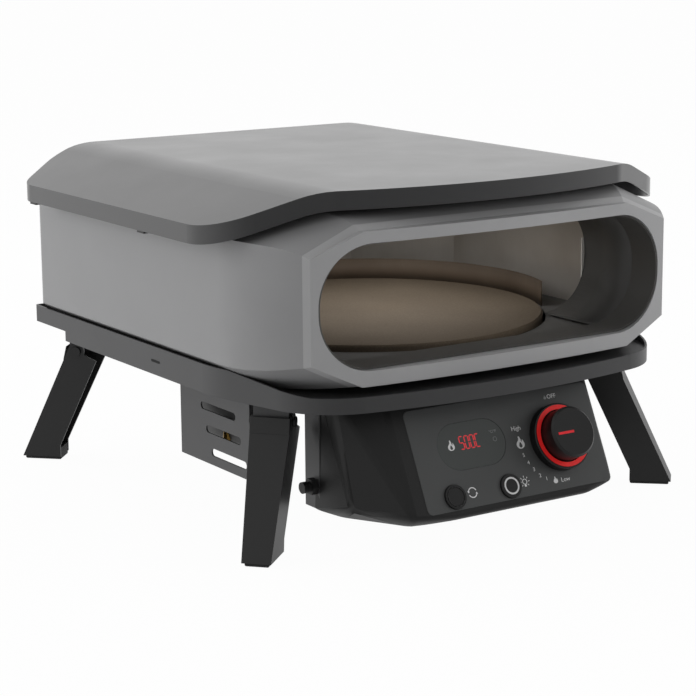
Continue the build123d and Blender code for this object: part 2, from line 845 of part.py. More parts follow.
def leg_place(side, end):
    """Placement of a hinge: side is -1 left or 1 right, end is -1 front or 1 rear."""
    turn = side * leg_turn if end < 0 else side * (180 - leg_turn)
    y = leg_front if end < 0 else leg_rear
    return Pos(side * leg_x, y, leg_axis_z) * Rot(0, 0, turn)


def taper(length):
    k = length / leg_length
    return leg_top_width + k * (leg_low_width - leg_top_width)


def leg_column(top, low, deeper):
    """A stretch of the leg's channel between two lengths below the hinge."""
    faces = [Pos(0, 0, -level) * channel(taper(level), leg_depth + deeper, leg_wall) for level in (top, low)]
    return loft(faces, ruled=True)


splay_sin = math.sin(math.radians(leg_splay))
splay_cos = math.cos(math.radians(leg_splay))
flange_end = leg_depth - leg_setback
foot_along = (leg_axis_z - foot_height - flange_end * splay_sin) / splay_cos
foot_inner = flange_end * splay_cos - foot_along * splay_sin    # the upright inner edge of the foot


def make_leg(side, end):
    leg = leg_column(0, leg_length + leg_depth, 0)
    reach = leg_top_width
    outer = leg_top_width / 2
    inner = outer - leg_wall
    # each flange ends in a round head about the pin, and the web stops short of the bracket's ears
    for s in (-1, 1):
        x0, x1 = sorted((s * inner, s * outer))
        leg += slab_x(Circle(leg_setback), x0, x1)
    leg -= block(-inner, inner, -leg_setback - overrun, leg_depth, -lug_r - seat, leg_setback + overrun)
    leg -= slab_x(Circle(pin_r + run_fit), -reach, reach)
    leg = Rot(-leg_splay, 0, 0) * leg
    big = overrun * 8
    # near the ground the flanges widen to an upright inner edge
    heel = Rot(-leg_splay, 0, 0) * leg_column(foot_along - leg_depth / 2, leg_length + leg_depth, foot_deeper)
    leg += heel & block(-big, big, -big, foot_inner, -leg_axis_z * 2, -leg_axis_z + foot_height)
    ground = block(-big, big, -big, big, -leg_axis_z * 2, -leg_axis_z + foot_gap)
    return leg_place(side, end) * (leg - ground)


def make_pad(side, end):
    """A rubber block inside the foot of the leg, which stands flat on the ground."""
    faces = []
    for level in (leg_length - leg_depth, leg_length + leg_depth):
        w = taper(level) / 2 - leg_wall - seat
        y0 = leg_wall + seat - leg_setback
        faces.append(Pos(0, 0, -level) * shape([(-w, y0), (w, y0), (w, y0 + 2 * leg_depth), (-w, y0 + 2 * leg_depth)]))
    core = Rot(-leg_splay, 0, 0) * loft(faces, ruled=True)
    big = overrun * 8
    core &= block(-big, big, -big, foot_inner - seat, -leg_axis_z, -leg_axis_z + pad_height)
    core = fillet(core.edges().group_by(Axis.Z)[0], pad_corner)
    return leg_place(side, end) * core


def make_lugs():
    """Each hinge bracket: a plate under the tray floor with two ears inside the leg's flanges."""
    items = []
    high = tray_floor - seat - leg_axis_z
    inner = leg_top_width / 2 - leg_wall - seat
    for side in (-1, 1):
        for end in (-1, 1):
            plate = block(-inner, inner, -lug_r, lug_plate_depth - lug_r, high - lug_plate, high)
            for s in (-1, 1):
                x0, x1 = sorted((s * inner, s * (inner - lug_wall)))
                ear = slab_x(Circle(lug_r), x0, x1) + block(x0, x1, -lug_r, lug_r, 0, high)
                plate += ear
            # the face between the ears closes the bracket on its outer side
            plate += block(-inner, inner, -lug_r, -lug_r + lug_wall, 0, high)
            plate -= slab_x(Circle(pin_r + run_fit), -inner - overrun, inner + overrun)
            items.append(leg_place(side, end) * plate)
    return items


def make_pins():
    items = []
    half = leg_top_width / 2 + seat
    for side in (-1, 1):
        for end in (-1, 1):
            pin = slab_x(Circle(pin_r), -half - seat, half + seat)
            for s in (-1, 1):
                x0, x1 = sorted((s * (half + seat), s * (half + seat + pin_head)))
                pin += slab_x(Circle(pin_head_r), x0, x1)
            items.append(leg_place(side, end) * pin)
    return items


# Control housing: a side profile extruded across, with its front corners bevelled along the slope
def house_profile(inset, recess, rear):
    """Side view, inset by a wall. Recess sets the front back by the panel's thickness, for the hollow."""
    k = (recess + inset) / slope_length
    back_y = slope_dz * k
    back_z = -slope_dy * k
    top_z = tray_floor - seat - inset
    rise = (top_z - slope_low_z - back_z) / slope_dz
    top_y = slope_low_y + back_y + rise * slope_dy
    low_y = slope_low_y + back_y
    low_z = slope_low_z + back_z
    points = [(rear, top_z), (top_y, top_z), (low_y, low_z + inset), (low_y + house_toe, house_low + inset),
              (rear, house_low + inset)]
    return shape(points)


def bevel_tool(side, inset):
    """A wedge that slices the front corner off, deeper towards the foot of the slope."""
    faces = []
    for z in (house_low - overrun, slope_top_z + 2 * overrun):
        down = (slope_top_z - z) / slope_dz
        y_at = slope_top_y - down * slope_dy + inset
        back = bevel_back_top + down * (bevel_back_low - bevel_back_top)
        start = bevel_start - inset
        end = house_half - inset
        far = overrun * 2
        points = [(side * start, y_at), (side * end, y_at + back), (side * (end + far), y_at + back),
                  (side * (end + far), y_at - far), (side * start, y_at - far)]
        faces.append(Pos(0, 0, z) * shape(points))
    return loft(faces, ruled=True)


def make_housing():
    outer = slab_x(house_profile(0, 0, house_rear), -house_half, house_half)
    inner = slab_x(house_profile(house_wall, panel_thick + seat, house_rear + overrun),
                   -house_half + house_wall, house_half - house_wall)
    for side in (-1, 1):
        outer -= bevel_tool(side, 0)
        inner -= bevel_tool(side, house_wall)
    house = outer - inner
    # the panel lies flush in a pocket
    pocket = Pos(0, slope_length / 2, -panel_thick - seat) * extrude(
        RectangleRounded(2 * panel_half + seat, slope_length - 2 * panel_margin + seat, panel_corner), overrun)
    house -= face_plane * pocket
    deep = panel_thick + house_wall + overrun / 2
    cut = Box(display_width - 2 * panel_edge, display_height, deep, align=(Align.CENTER, Align.CENTER, Align.MAX))
    house -= on_face(display_x, display_s, 0, cut)
    for x, s in ((rotate_x, rotate_s), (light_x, light_s)):
        house -= on_face(x, s, 0, rod(button_r + slide_fit + button_collar, -deep, 0))
    house -= on_face(knob_x, knob_s, 0, rod(spindle_r + slide_fit, -deep, 0))
    # posts that the circuit board is screwed to
    for x in (display_x - post_x, display_x + post_x):
        for s in (post_low, post_high):
            house += on_face(x, s, 0, rod(post_r, board_top + seat, -panel_thick - house_wall / 2))
    return house


def make_panel():
    plate = Pos(0, slope_length / 2, -panel_thick) * extrude(
        RectangleRounded(2 * panel_half, slope_length - 2 * panel_margin, panel_corner), panel_thick)
    plate = fillet(plate.edges().group_by(Axis.Z)[-1], panel_round)
    plate = face_plane * plate
    hole = SlotOverall(display_width, display_height)
    plate -= on_face(display_x, display_s, -panel_thick - overrun / 2, extrude(hole, overrun))
    for x, s in ((rotate_x, rotate_s), (light_x, light_s)):
        plate -= on_face(x, s, 0, rod(button_r + slide_fit, -overrun / 2, overrun / 2))
    plate -= on_face(knob_x, knob_s, 0, rod(spindle_r + slide_fit, -overrun / 2, overrun / 2))
    return plate


def make_window():
    lens = extrude(SlotOverall(display_width - 2 * seat, display_height - 2 * seat), window_thick)
    return on_face(display_x, display_s, -window_thick - panel_edge / 4, lens)


def make_display():
    top = -window_thick - panel_edge / 4 - seat
    board = Pos(0, 0, top - digits_height - board_thick) * Box(
        display_width - 4 * panel_edge, display_height - 2 * panel_edge, board_thick,
        align=(Align.CENTER, Align.CENTER, Align.MIN))
    digits = Pos(0, 0, top - digits_height) * Box(
        display_width / 2, display_height / 2, digits_height - seat, align=(Align.CENTER, Align.CENTER, Align.MIN))
    return on_face(display_x, display_s, 0, board + digits)


button_back = panel_thick + house_wall
switch_top = -button_back - button_flange - button_travel - seat
board_top = switch_top - switch_height


def make_button(x, s, ring):
    cap = rod(button_r, -button_back, button_rise)
    cap = fillet(cap.edges().group_by(Axis.Z)[-1], panel_edge / 2)
    cap += rod(button_r + button_collar - seat, -button_back, -panel_thick - seat)
    cap += rod(stem_r, -button_back - button_flange, -button_back)
    if ring:
        groove = rod(light_ring_r + seat / 3, button_rise - light_ring_depth, button_rise + overrun)
        groove -= rod(light_ring_r - light_ring_width - seat / 3, button_rise - light_ring_depth, button_rise + overrun)
        cap -= groove
    return on_face(x, s, 0, cap)


def make_light_ring():
    ring = rod(light_ring_r, button_rise - light_ring_depth, button_rise + seat / 2)
    ring -= rod(light_ring_r - light_ring_width, 0, button_rise + overrun)
    return on_face(light_x, light_s, 0, ring)


def make_switches():
    items = []
    for x, s in ((rotate_x, rotate_s), (light_x, light_s)):
        body = Box(2 * switch_half, 2 * switch_half, switch_height - switch_tip,
                   align=(Align.CENTER, Align.CENTER, Align.MIN))
        tip = rod(switch_half / 2, switch_height - switch_tip, switch_height)
        items.append(on_face(x, s, board_top, body + tip))
    return items


def make_pcb():
    board = Pos(0, pcb_low, board_top - board_thick) * Box(
        display_width, pcb_high - pcb_low, board_thick, align=(Align.CENTER, Align.MIN, Align.MIN))
    return on_face(display_x, 0, 0, board)


# Knob: a base with a raised rim that carries the ring, and a cap that sinks into it when it is pushed
well_r = knob_r + knob_gap


def make_knob_base():
    disc = rod(base_r, 0, base_height)
    disc = fillet(disc.edges().group_by(Axis.Z)[-1], panel_edge)
    disc -= rod(well_r, base_floor, base_height + overrun)
    disc -= rod(well_r + glow_width, base_height - glow_depth, base_height + overrun)
    disc -= rod(spindle_r + slide_fit, -overrun, overrun)
    return on_face(knob_x, knob_s, 0, disc)


def make_glow_ring():
    ring = rod(well_r + glow_width - seat / 3, base_height - glow_depth, base_height + seat)
    ring -= rod(well_r, 0, base_height + overrun)
    return on_face(knob_x, knob_s, 0, ring)


def make_knob():
    cap = rod(knob_r, knob_low, knob_high)
    cap = chamfer(cap.edges().group_by(Axis.Z)[-1], knob_chamfer)
    cap -= rod(knob_r - knob_wall, knob_low - overrun, knob_high - knob_wall)
    cap += rod(spindle_r + knob_wall, knob_low, knob_high - knob_wall)
    cap -= rod(spindle_r + run_fit, 0, knob_high - knob_wall)
    return on_face(knob_x, knob_s, 0, cap)


def make_side_bracket():
    """A folded U behind the housing: two side plates and the wall that joins them."""
    high = tray_floor - seat
    y0 = house_rear + seat
    solid = block(-house_half, house_half, y0, side_rear, side_low, high)
    solid -= block(-house_half + side_wall, house_half - side_wall, y0 - overrun, side_rear - side_wall,
                   side_low - overrun, high + overrun)
    slot = Pos((side_slot_front + side_slot_width / 2), (side_slot_low + side_slot_high) / 2) * Rot(0, 0, 90) * \
        SlotOverall(side_slot_high - side_slot_low, side_slot_width)
    solid -= slab_x(slot, -house_half - overrun, -house_half + overrun)
    return solid


parts = {}


def add(name, solids):
    """Record one node: one solid, or a list of them."""
    group = solids if isinstance(solids, list) else [solids]
    found = []
    for item in group:
        found += item.solids()
    parts[name] = Compound(children=[Solid(s.wrapped) for s in found]) if len(found) > 1 else found[0]


add("body_shell", make_body())
add("front_bezel", make_bezel())
add("mouth_sleeve", make_sleeve())
add("lid_cover", make_lid())
add("lid_clips", make_clips())
add("base_tray", make_tray())
add("liner_wall", make_liner())
add("liner_roof", make_liner_roof())
add("floor_plate", make_floor())
add("pizza_stone", make_stone())
add("turntable", make_turntable())
add("drive_shaft", make_shaft())
add("shaft_bush", make_bush())
add("gear_motor", make_motor())
add("motor_bracket", make_motor_bracket())
add("burner_tube", make_burner())
add("burner_guard", make_guard())
add("mixing_tube", make_mixer())
add("gas_jet", make_jet())
add("gas_pipe", make_pipe())
add("supply_pipe", make_supply())
add("gas_valve", make_valve())
add("gas_inlet", make_inlet())
add("valve_spindle", make_spindle())
add("igniter", make_igniter())
add("flame_sensor", make_sensor())
add("probe_bracket", make_probe_bracket())
add("lamp_body", make_lamp())
add("lamp_lens", make_lens())
add("vent_box", make_vent())
add("leg_brackets", make_lugs())
add("hinge_pins", make_pins())
for side_name, side in (("left", -1), ("right", 1)):
    for end_name, end in (("front", -1), ("rear", 1)):
        add("leg_%s_%s" % (end_name, side_name), make_leg(side, end))
        add("foot_pad_%s_%s" % (end_name, side_name), make_pad(side, end))
add("control_housing", make_housing())
add("control_panel", make_panel())
add("display_window", make_window())
add("display_board", make_display())
add("rotate_button", make_button(rotate_x, rotate_s, False))
add("light_button", make_button(light_x, light_s, True))
add("light_ring", make_light_ring())
add("button_switches", make_switches())
add("circuit_board", make_pcb())
add("knob_base", make_knob_base())
add("glow_ring", make_glow_ring())
add("knob_cap", make_knob())
add("side_bracket", make_side_bracket())

# Move everything so that the origin is the middle of the footprint
boxes = [p.bounding_box() for p in parts.values()]
front_y = min(b.min.Y for b in boxes)
rear_y = max(b.max.Y for b in boxes)
middle = (front_y + rear_y) / 2
os.makedirs("parts", exist_ok=True)
for name, item in parts.items():
    export_step(Pos(0, -middle, 0) * item, "parts/%s.step" % name)
print("moved back by", round(middle, 4), "width", max(b.max.X for b in boxes) - min(b.min.X for b in boxes),
      "depth", rear_y - front_y, "height", max(b.max.Z for b in boxes))
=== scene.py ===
import bpy
import bmesh
import json
import math
from mathutils import Matrix, Vector


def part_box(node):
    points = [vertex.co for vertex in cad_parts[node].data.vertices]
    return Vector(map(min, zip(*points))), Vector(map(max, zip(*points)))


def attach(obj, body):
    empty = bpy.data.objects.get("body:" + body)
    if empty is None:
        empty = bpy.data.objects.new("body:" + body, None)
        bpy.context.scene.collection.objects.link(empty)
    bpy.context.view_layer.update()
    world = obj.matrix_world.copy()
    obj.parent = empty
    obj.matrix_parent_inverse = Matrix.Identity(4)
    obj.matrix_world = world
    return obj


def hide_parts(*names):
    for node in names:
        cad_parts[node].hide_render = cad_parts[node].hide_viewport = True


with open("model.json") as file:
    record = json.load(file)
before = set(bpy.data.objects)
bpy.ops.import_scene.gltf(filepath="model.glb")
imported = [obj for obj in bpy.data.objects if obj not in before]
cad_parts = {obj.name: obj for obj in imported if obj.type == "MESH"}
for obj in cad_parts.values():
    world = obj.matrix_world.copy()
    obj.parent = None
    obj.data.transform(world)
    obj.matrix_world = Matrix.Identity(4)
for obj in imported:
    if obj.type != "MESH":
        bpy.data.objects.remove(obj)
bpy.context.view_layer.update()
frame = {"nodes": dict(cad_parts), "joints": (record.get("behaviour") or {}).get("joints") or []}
nodes = frame["nodes"]
mm = 0.001

# Camera
# A long lens at the front left of the oven, a little above the lid. The lens is set off centre so
# that the oven stands where the photograph has it.
stone_low, stone_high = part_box("pizza_stone")
stone_y = (stone_low.y + stone_high.y) / 2
face_to_stone = 201.0
face_y = stone_y - face_to_stone * mm      # the line through the front corners of the face
picture_width, focal_length = 696, 2100    # pixels
lens_shift = (-28.876, -10.674)            # pixels
lens = bpy.data.cameras.new("camera")
lens.sensor_width = 36.0
lens.lens = lens.sensor_width * focal_length / picture_width
lens.shift_x = lens_shift[0] / picture_width
lens.shift_y = lens_shift[1] / picture_width
lens.clip_end = 50.0
camera = bpy.data.objects.new("camera", lens)
bpy.context.scene.collection.objects.link(camera)
camera_place = (-1072.97 * mm, face_y - 1398.83 * mm, 538.33 * mm)
heading, tilt, roll = math.radians(34.16), math.radians(11.77), math.radians(-0.296)
camera.matrix_world = (Matrix.Translation(camera_place) @ Matrix.Rotation(-heading, 4, "Z")
                       @ Matrix.Rotation(math.pi / 2 - tilt, 4, "X")
                       @ Matrix.Rotation(roll, 4, "Z"))
bpy.context.scene.camera = camera
bpy.context.scene.view_settings.view_transform = "Standard"


# Floor, surroundings and lamps
# A pale studio with a wide white floor, darker towards the front. A large soft lamp stands at the
# rear left, one at the front right and one overhead, and the oven's own lamp is on.
def hex_colour(code):
    """The linear colour of an sRGB hex value such as "8f8f8f"."""
    channels = [int(code[i:i + 2], 16) / 255 for i in (0, 2, 4)]
    return [c / 12.92 if c <= 0.04045 else ((c + 0.055) / 1.055) ** 2.4 for c in channels] + [1.0]


def add_node(tree, kind, inputs=None, **settings):
    """Add a shader node, set its properties, and fill its sockets with values or nodes' outputs.

    A mix node's sockets share their names and go by number: 0 is the share, 2 and 3 are the numbers
    and 6 and 7 the colours that are mixed. Its output 2 is the colour.
    """
    node = tree.nodes.new(kind)
    for key, value in settings.items():
        setattr(node, key, value)
    for key, value in (inputs or {}).items():
        if isinstance(value, bpy.types.NodeSocket):
            tree.links.new(value, node.inputs[key])
        else:
            node.inputs[key].default_value = value
    return node


def new_material(name):
    """An empty node material and its tree."""
    material = bpy.data.materials.new(name)
    material.use_nodes = True
    material.node_tree.nodes.clear()
    return material, material.node_tree


darkest_y, full_y = -0.9, 0.1      # the Y of a direction where the light is darkest and where full
darkest_share = 0.3
scattered_level = 0.62             # light that falls on rough surfaces, against what is mirrored
white = (1, 1, 1, 1)


def light_by_direction(tree, direction, sign):
    """The share of full light that a direction brings. Sign is -1 where it runs back to the eye."""
    parts = add_node(tree, "ShaderNodeSeparateXYZ", {0: direction})
    share = add_node(tree, "ShaderNodeMapRange",
                     {"Value": parts.outputs["Y"], "From Min": sign * darkest_y,
                      "From Max": sign * full_y, "To Min": darkest_share, "To Max": 1.0})
    return share.outputs[0]


world = bpy.data.worlds.new("studio")
bpy.context.scene.world = world
world.use_nodes = True
sky = world.node_tree
sky.nodes.clear()
path = add_node(sky, "ShaderNodeLightPath")
seen = add_node(sky, "ShaderNodeMath", {0: path.outputs["Is Camera Ray"],
                                        1: path.outputs["Is Glossy Ray"]}, operation="MAXIMUM")
seen = add_node(sky, "ShaderNodeMath", {0: seen.outputs[0],
                                        1: path.outputs["Is Transmission Ray"]},
                operation="MAXIMUM")
level = add_node(sky, "ShaderNodeMapRange", {"Value": seen.outputs[0], "To Min": scattered_level,
                                             "To Max": 1.0})
ray = add_node(sky, "ShaderNodeTexCoord")
share = light_by_direction(sky, ray.outputs["Generated"], 1)
level = add_node(sky, "ShaderNodeMath", {0: level.outputs[0], 1: share}, operation="MULTIPLY")
level = add_node(sky, "ShaderNodeMix", {0: path.outputs["Is Camera Ray"], 2: level.outputs[0],
                                        3: 1.0})
glow = add_node(sky, "ShaderNodeBackground", {"Color": white, "Strength": level.outputs[0]})
add_node(sky, "ShaderNodeOutputWorld", {"Surface": glow.outputs[0]})

floor_half = 12.0
glow_share = 0.97      # of the floor's own white; the rest takes the oven's shadow
floor_mesh = bpy.data.meshes.new("floor")
sheet = bmesh.new()
bmesh.ops.create_grid(sheet, x_segments=1, y_segments=1, size=floor_half)
sheet.to_mesh(floor_mesh)
sheet.free()
floor = bpy.data.objects.new("floor", floor_mesh)
bpy.context.scene.collection.objects.link(floor)
floor_paint, tree = new_material("matt white floor")
path = add_node(tree, "ShaderNodeLightPath")
flat = add_node(tree, "ShaderNodeBsdfDiffuse", {"Color": hex_colour("f4f4f4")})
view = add_node(tree, "ShaderNodeNewGeometry")
share = light_by_direction(tree, view.outputs["Incoming"], -1)
level = add_node(tree, "ShaderNodeMix", {0: path.outputs["Is Camera Ray"], 2: share, 3: 1.0})
lit = add_node(tree, "ShaderNodeEmission", {"Color": white, "Strength": level.outputs[0]})
seen = add_node(tree, "ShaderNodeMath", {0: path.outputs["Is Camera Ray"],
                                         1: path.outputs["Is Glossy Ray"]}, operation="MAXIMUM")
share = add_node(tree, "ShaderNodeMath", {0: seen.outputs[0], 1: glow_share}, operation="MULTIPLY")
blend = add_node(tree, "ShaderNodeMixShader", {0: share.outputs[0], 1: flat.outputs[0],
                                               2: lit.outputs[0]})
add_node(tree, "ShaderNodeOutputMaterial", {"Surface": blend.outputs[0]})
floor_mesh.materials.append(floor_paint)

aim_point = Vector((0, 0, 0.15))
for name, place, size, power in (("left softbox", (-2.0, 2.2, 0.7), 1.8, 46.0),
                                 ("right softbox", (2.6, -1.4, 0.5), 1.8, 46.0),
                                 ("top softbox", (0.0, 0.8, 2.6), 2.0, 8.0)):
    lamp = bpy.data.lights.new(name, "AREA")
    lamp.shape = "SQUARE"
    lamp.size = size
    lamp.energy = power
    holder = bpy.data.objects.new(name, lamp)
    bpy.context.scene.collection.objects.link(holder)
    aim = (aim_point - Vector(place)).to_track_quat("-Z", "Y").to_matrix().to_4x4()
    holder.matrix_world = Matrix.Translation(place) @ aim
    holder.visible_glossy = False

oven_lamp_place = (20 * mm, stone_y, 256 * mm)      # under the liner's roof
oven_lamp = bpy.data.lights.new("oven lamp", "AREA")
oven_lamp.size = 0.2
oven_lamp.energy = 0.3
holder = bpy.data.objects.new("oven lamp", oven_lamp)
holder.matrix_world = Matrix.Translation(oven_lamp_place)
holder.visible_glossy = holder.visible_camera = False
bpy.context.scene.collection.objects.link(holder)

# Base tray, vent box and leg brackets
# Pressed and folded sheet steel, powder coated dark grey: a satin coat with a fine orange peel. The
# peel of such a coat is 0.3 to 0.5 mm across and is drawn at 1.6 mm, so that it shows at all.
noise_low, noise_high = 0.3, 0.7      # nearly all of a noise texture's values lie between these


def shaded(colour, share):
    """A colour made darker or lighter."""
    return [c * share for c in colour[:3]] + [1.0]


def powder_coat(name, colour, roughness, depth, gloss=0.0):
    """Powder coat with peel of a depth in mm, slightly uneven in tone and roughness."""
    peel_size, cloud_size = 1.6 * mm, 80 * mm
    rough_spread = 0.03
    material, tree = new_material(name)
    place = add_node(tree, "ShaderNodeTexCoord")
    peel = add_node(tree, "ShaderNodeTexNoise", {"Vector": place.outputs["Object"],
                                                 "Scale": 1 / peel_size, "Detail": 2.0})
    broad = add_node(tree, "ShaderNodeTexNoise", {"Vector": place.outputs["Object"],
                                                  "Scale": 1 / cloud_size, "Detail": 4.0})
    base = hex_colour(colour)
    tone = add_node(tree, "ShaderNodeMix", {0: broad.outputs["Fac"], 6: shaded(base, 0.9),
                                            7: shaded(base, 1.1)}, data_type="RGBA")
    rough = add_node(tree, "ShaderNodeMapRange",
                     {"Value": broad.outputs["Fac"], "From Min": noise_low, "From Max": noise_high,
                      "To Min": roughness - rough_spread, "To Max": roughness + rough_spread})
    bump = add_node(tree, "ShaderNodeBump", {"Height": peel.outputs["Fac"], "Distance": depth * mm,
                                             "Strength": 0.6})
    coat = add_node(tree, "ShaderNodeBsdfPrincipled",
                    {"Base Color": tone.outputs[2], "Roughness": rough.outputs[0],
                     "Coat Weight": gloss, "Coat Roughness": 0.22,
                     "Normal": bump.outputs["Normal"]})
    add_node(tree, "ShaderNodeOutputMaterial", {"Surface": coat.outputs[0]})
    return material


def dress(material, *names):
    """Give CAD nodes a finished material in their own slots."""
    for name in names:
        for slot in nodes[name].material_slots:
            slot.material = material


dark_coat = powder_coat("dark grey powder coat", "404041", 0.45, 0.04)
dress(dark_coat, "base_tray", "vent_box", "leg_brackets", "side_bracket")

# Legs, hinge pins, lid clips and foot pads
# Folded steel channels, their pins and the clips under the lid, all in black powder coat, and
# moulded rubber pads. Rubber shows no gloss and a fine moulded grain.
black_coat = powder_coat("black powder coat", "1c1c1c", 0.45, 0.04)
dress(black_coat, "leg_front_left", "leg_front_right", "leg_rear_left", "leg_rear_right",
      "lid_clips", "hinge_pins")


def moulded(name, colour, roughness, grain, depth):
    """Moulded plastic or rubber: the mould's texture, grain mm across, breaks up the gloss."""
    wear_size = 35 * mm
    rough_spread = 0.04
    material, tree = new_material(name)
    place = add_node(tree, "ShaderNodeTexCoord")
    spark = add_node(tree, "ShaderNodeTexVoronoi", {"Vector": place.outputs["Object"],
                                                    "Scale": 1 / (grain * mm)})
    wear = add_node(tree, "ShaderNodeTexNoise", {"Vector": place.outputs["Object"],
                                                 "Scale": 1 / wear_size, "Detail": 5.0})
    base = hex_colour(colour)
    tone = add_node(tree, "ShaderNodeMix", {0: wear.outputs["Fac"], 6: shaded(base, 0.85),
                                            7: shaded(base, 1.15)}, data_type="RGBA")
    rough = add_node(tree, "ShaderNodeMapRange",
                     {"Value": wear.outputs["Fac"], "From Min": noise_low, "From Max": noise_high,
                      "To Min": roughness - rough_spread, "To Max": roughness + rough_spread})
    bump = add_node(tree, "ShaderNodeBump", {"Height": spark.outputs["Distance"],
                                             "Distance": depth * mm, "Strength": 0.5})
    body = add_node(tree, "ShaderNodeBsdfPrincipled",
                    {"Base Color": tone.outputs[2], "Roughness": rough.outputs[0], "IOR": 1.5,
                     "Normal": bump.outputs["Normal"]})
    add_node(tree, "ShaderNodeOutputMaterial", {"Surface": body.outputs[0]})
    return material


pad_rubber = moulded("moulded rubber", "262626", 0.75, 0.9, 0.08)
dress(pad_rubber, "foot_pad_front_left", "foot_pad_front_right", "foot_pad_rear_left",
      "foot_pad_rear_right")

# Drive, pipes and other inner metal
# Zinc plated steel is a dull grey with fine lines from rolling or drawing. Only what hangs under
# the tray, such as the motor, shows from outside.
streak_share = 45      # how much longer than wide a streak is


def bare_metal(name, colour, roughness, streak, grain, tint=None, metallic=1.0, contrast=0.14):
    """Rolled, drawn or brushed metal, with streaks along one axis, each grain mm wide."""
    cloud_size, streak_depth = 60 * mm, 0.03 * mm
    rough_spread = 0.07
    material, tree = new_material(name)
    place = add_node(tree, "ShaderNodeTexCoord")
    scale = [1 / (grain * mm)] * 3
    scale["xyz".index(streak)] = 1 / (streak_share * grain * mm)
    stretch = add_node(tree, "ShaderNodeMapping", {"Vector": place.outputs["Object"],
                                                   "Scale": scale})
    lines = add_node(tree, "ShaderNodeTexNoise", {"Vector": stretch.outputs["Vector"], "Scale": 1.0,
                                                  "Detail": 3.0})
    cloud = add_node(tree, "ShaderNodeTexNoise", {"Vector": place.outputs["Object"],
                                                  "Scale": 1 / cloud_size, "Detail": 3.0})
    tone = add_node(tree, "ShaderNodeMix", {0: cloud.outputs["Fac"], 6: hex_colour(colour),
                                            7: hex_colour(tint or colour)}, data_type="RGBA")
    fine = add_node(tree, "ShaderNodeMapRange",
                    {"Value": lines.outputs["Fac"], "From Min": noise_low, "From Max": noise_high,
                     "To Min": 1 - contrast, "To Max": 1.0})
    shade = add_node(tree, "ShaderNodeMix", {0: 1.0, 6: tone.outputs[2], 7: fine.outputs[0]},
                     data_type="RGBA", blend_type="MULTIPLY")
    rough = add_node(tree, "ShaderNodeMapRange",
                     {"Value": lines.outputs["Fac"], "From Min": noise_low, "From Max": noise_high,
                      "To Min": roughness - rough_spread, "To Max": roughness + rough_spread})
    bump = add_node(tree, "ShaderNodeBump", {"Height": lines.outputs["Fac"],
                                             "Distance": streak_depth, "Strength": 0.4})
    metal = add_node(tree, "ShaderNodeBsdfPrincipled",
                     {"Base Color": shade.outputs[2], "Metallic": metallic,
                      "Roughness": rough.outputs[0], "Normal": bump.outputs["Normal"]})
    add_node(tree, "ShaderNodeOutputMaterial", {"Surface": metal.outputs[0]})
    return material


plain_steel = bare_metal("zinc plated steel", "9a9a98", 0.38, "z", 0.6)
dress(plain_steel, "turntable", "drive_shaft", "motor_bracket", "mixing_tube", "gas_pipe",
      "supply_pipe", "valve_spindle", "probe_bracket", "gear_motor")

# Cooking space
# Folded stainless panels, straw-brown and duller than bare steel where the flame has heated them,
# a dark coated floor plate, and the burner behind its guard.
liner_steel = bare_metal("stainless steel, heat tinted", "dad5ce", 0.40, "z", 0.8, "b3aba0",
                         metallic=0.6, contrast=0.06)
dress(liner_steel, "liner_wall", "burner_guard", "burner_tube")
roof_steel = bare_metal("stainless steel, sooted", "a19c96", 0.42, "y", 0.8, "8d867f",
                        metallic=0.6, contrast=0.06)
dress(roof_steel, "liner_roof")
sleeve_steel = powder_coat("heat proof coat, dark", "51504e", 0.45, 0.04)
dress(sleeve_steel, "mouth_sleeve")
floor_coat = powder_coat("heat proof coat, black", "5a5957", 0.55, 0.03)
dress(floor_coat, "floor_plate")

# Pizza stone
# Pressed and fired cordierite is a dull tan with grit and small pits. Its grit is under 1 mm and is
# drawn at 1.5 mm, so that it shows.
grit_size, scorch_size, pit_depth = 1.5 * mm, 70 * mm, 0.15 * mm
fired_stone, tree = new_material("pressed cordierite, fired")
place = add_node(tree, "ShaderNodeTexCoord")
grit = add_node(tree, "ShaderNodeTexNoise", {"Vector": place.outputs["Object"],
                                             "Scale": 1 / grit_size, "Detail": 3.0})
scorch = add_node(tree, "ShaderNodeTexNoise", {"Vector": place.outputs["Object"],
                                               "Scale": 1 / scorch_size, "Detail": 5.0})
sand = add_node(tree, "ShaderNodeMix", {0: scorch.outputs["Fac"], 6: hex_colour("6d6152"),
                                        7: hex_colour("5e5243")}, data_type="RGBA")
speck = add_node(tree, "ShaderNodeMapRange", {"Value": grit.outputs["Fac"], "From Min": 0.35,
                                              "From Max": 0.65, "To Min": 0.82, "To Max": 1.05})
baked = add_node(tree, "ShaderNodeMix", {0: 1.0, 6: sand.outputs[2], 7: speck.outputs[0]},
                 data_type="RGBA", blend_type="MULTIPLY")
pits = add_node(tree, "ShaderNodeBump", {"Height": grit.outputs["Fac"], "Distance": pit_depth,
                                         "Strength": 0.5})
clay = add_node(tree, "ShaderNodeBsdfPrincipled",
                {"Base Color": baked.outputs[2], "Roughness": 0.85,
                 "Normal": pits.outputs["Normal"]})
add_node(tree, "ShaderNodeOutputMaterial", {"Surface": clay.outputs[0]})
dress(fired_stone, "pizza_stone")

# Gas fittings, shaft bush, electrodes and lamp
# Machined brass keeps fine turning marks, unglazed alumina is chalky white, and the lamp's pressed
# glass lens is faintly rippled.
brass = bare_metal("machined brass", "b08d4a", 0.3, "z", 0.4)
dress(brass, "gas_jet", "gas_valve", "shaft_bush")
ceramic = moulded("unglazed alumina ceramic", "c9c2b4", 0.6, 0.5, 0.02)
dress(ceramic, "igniter", "flame_sensor", "lamp_body")

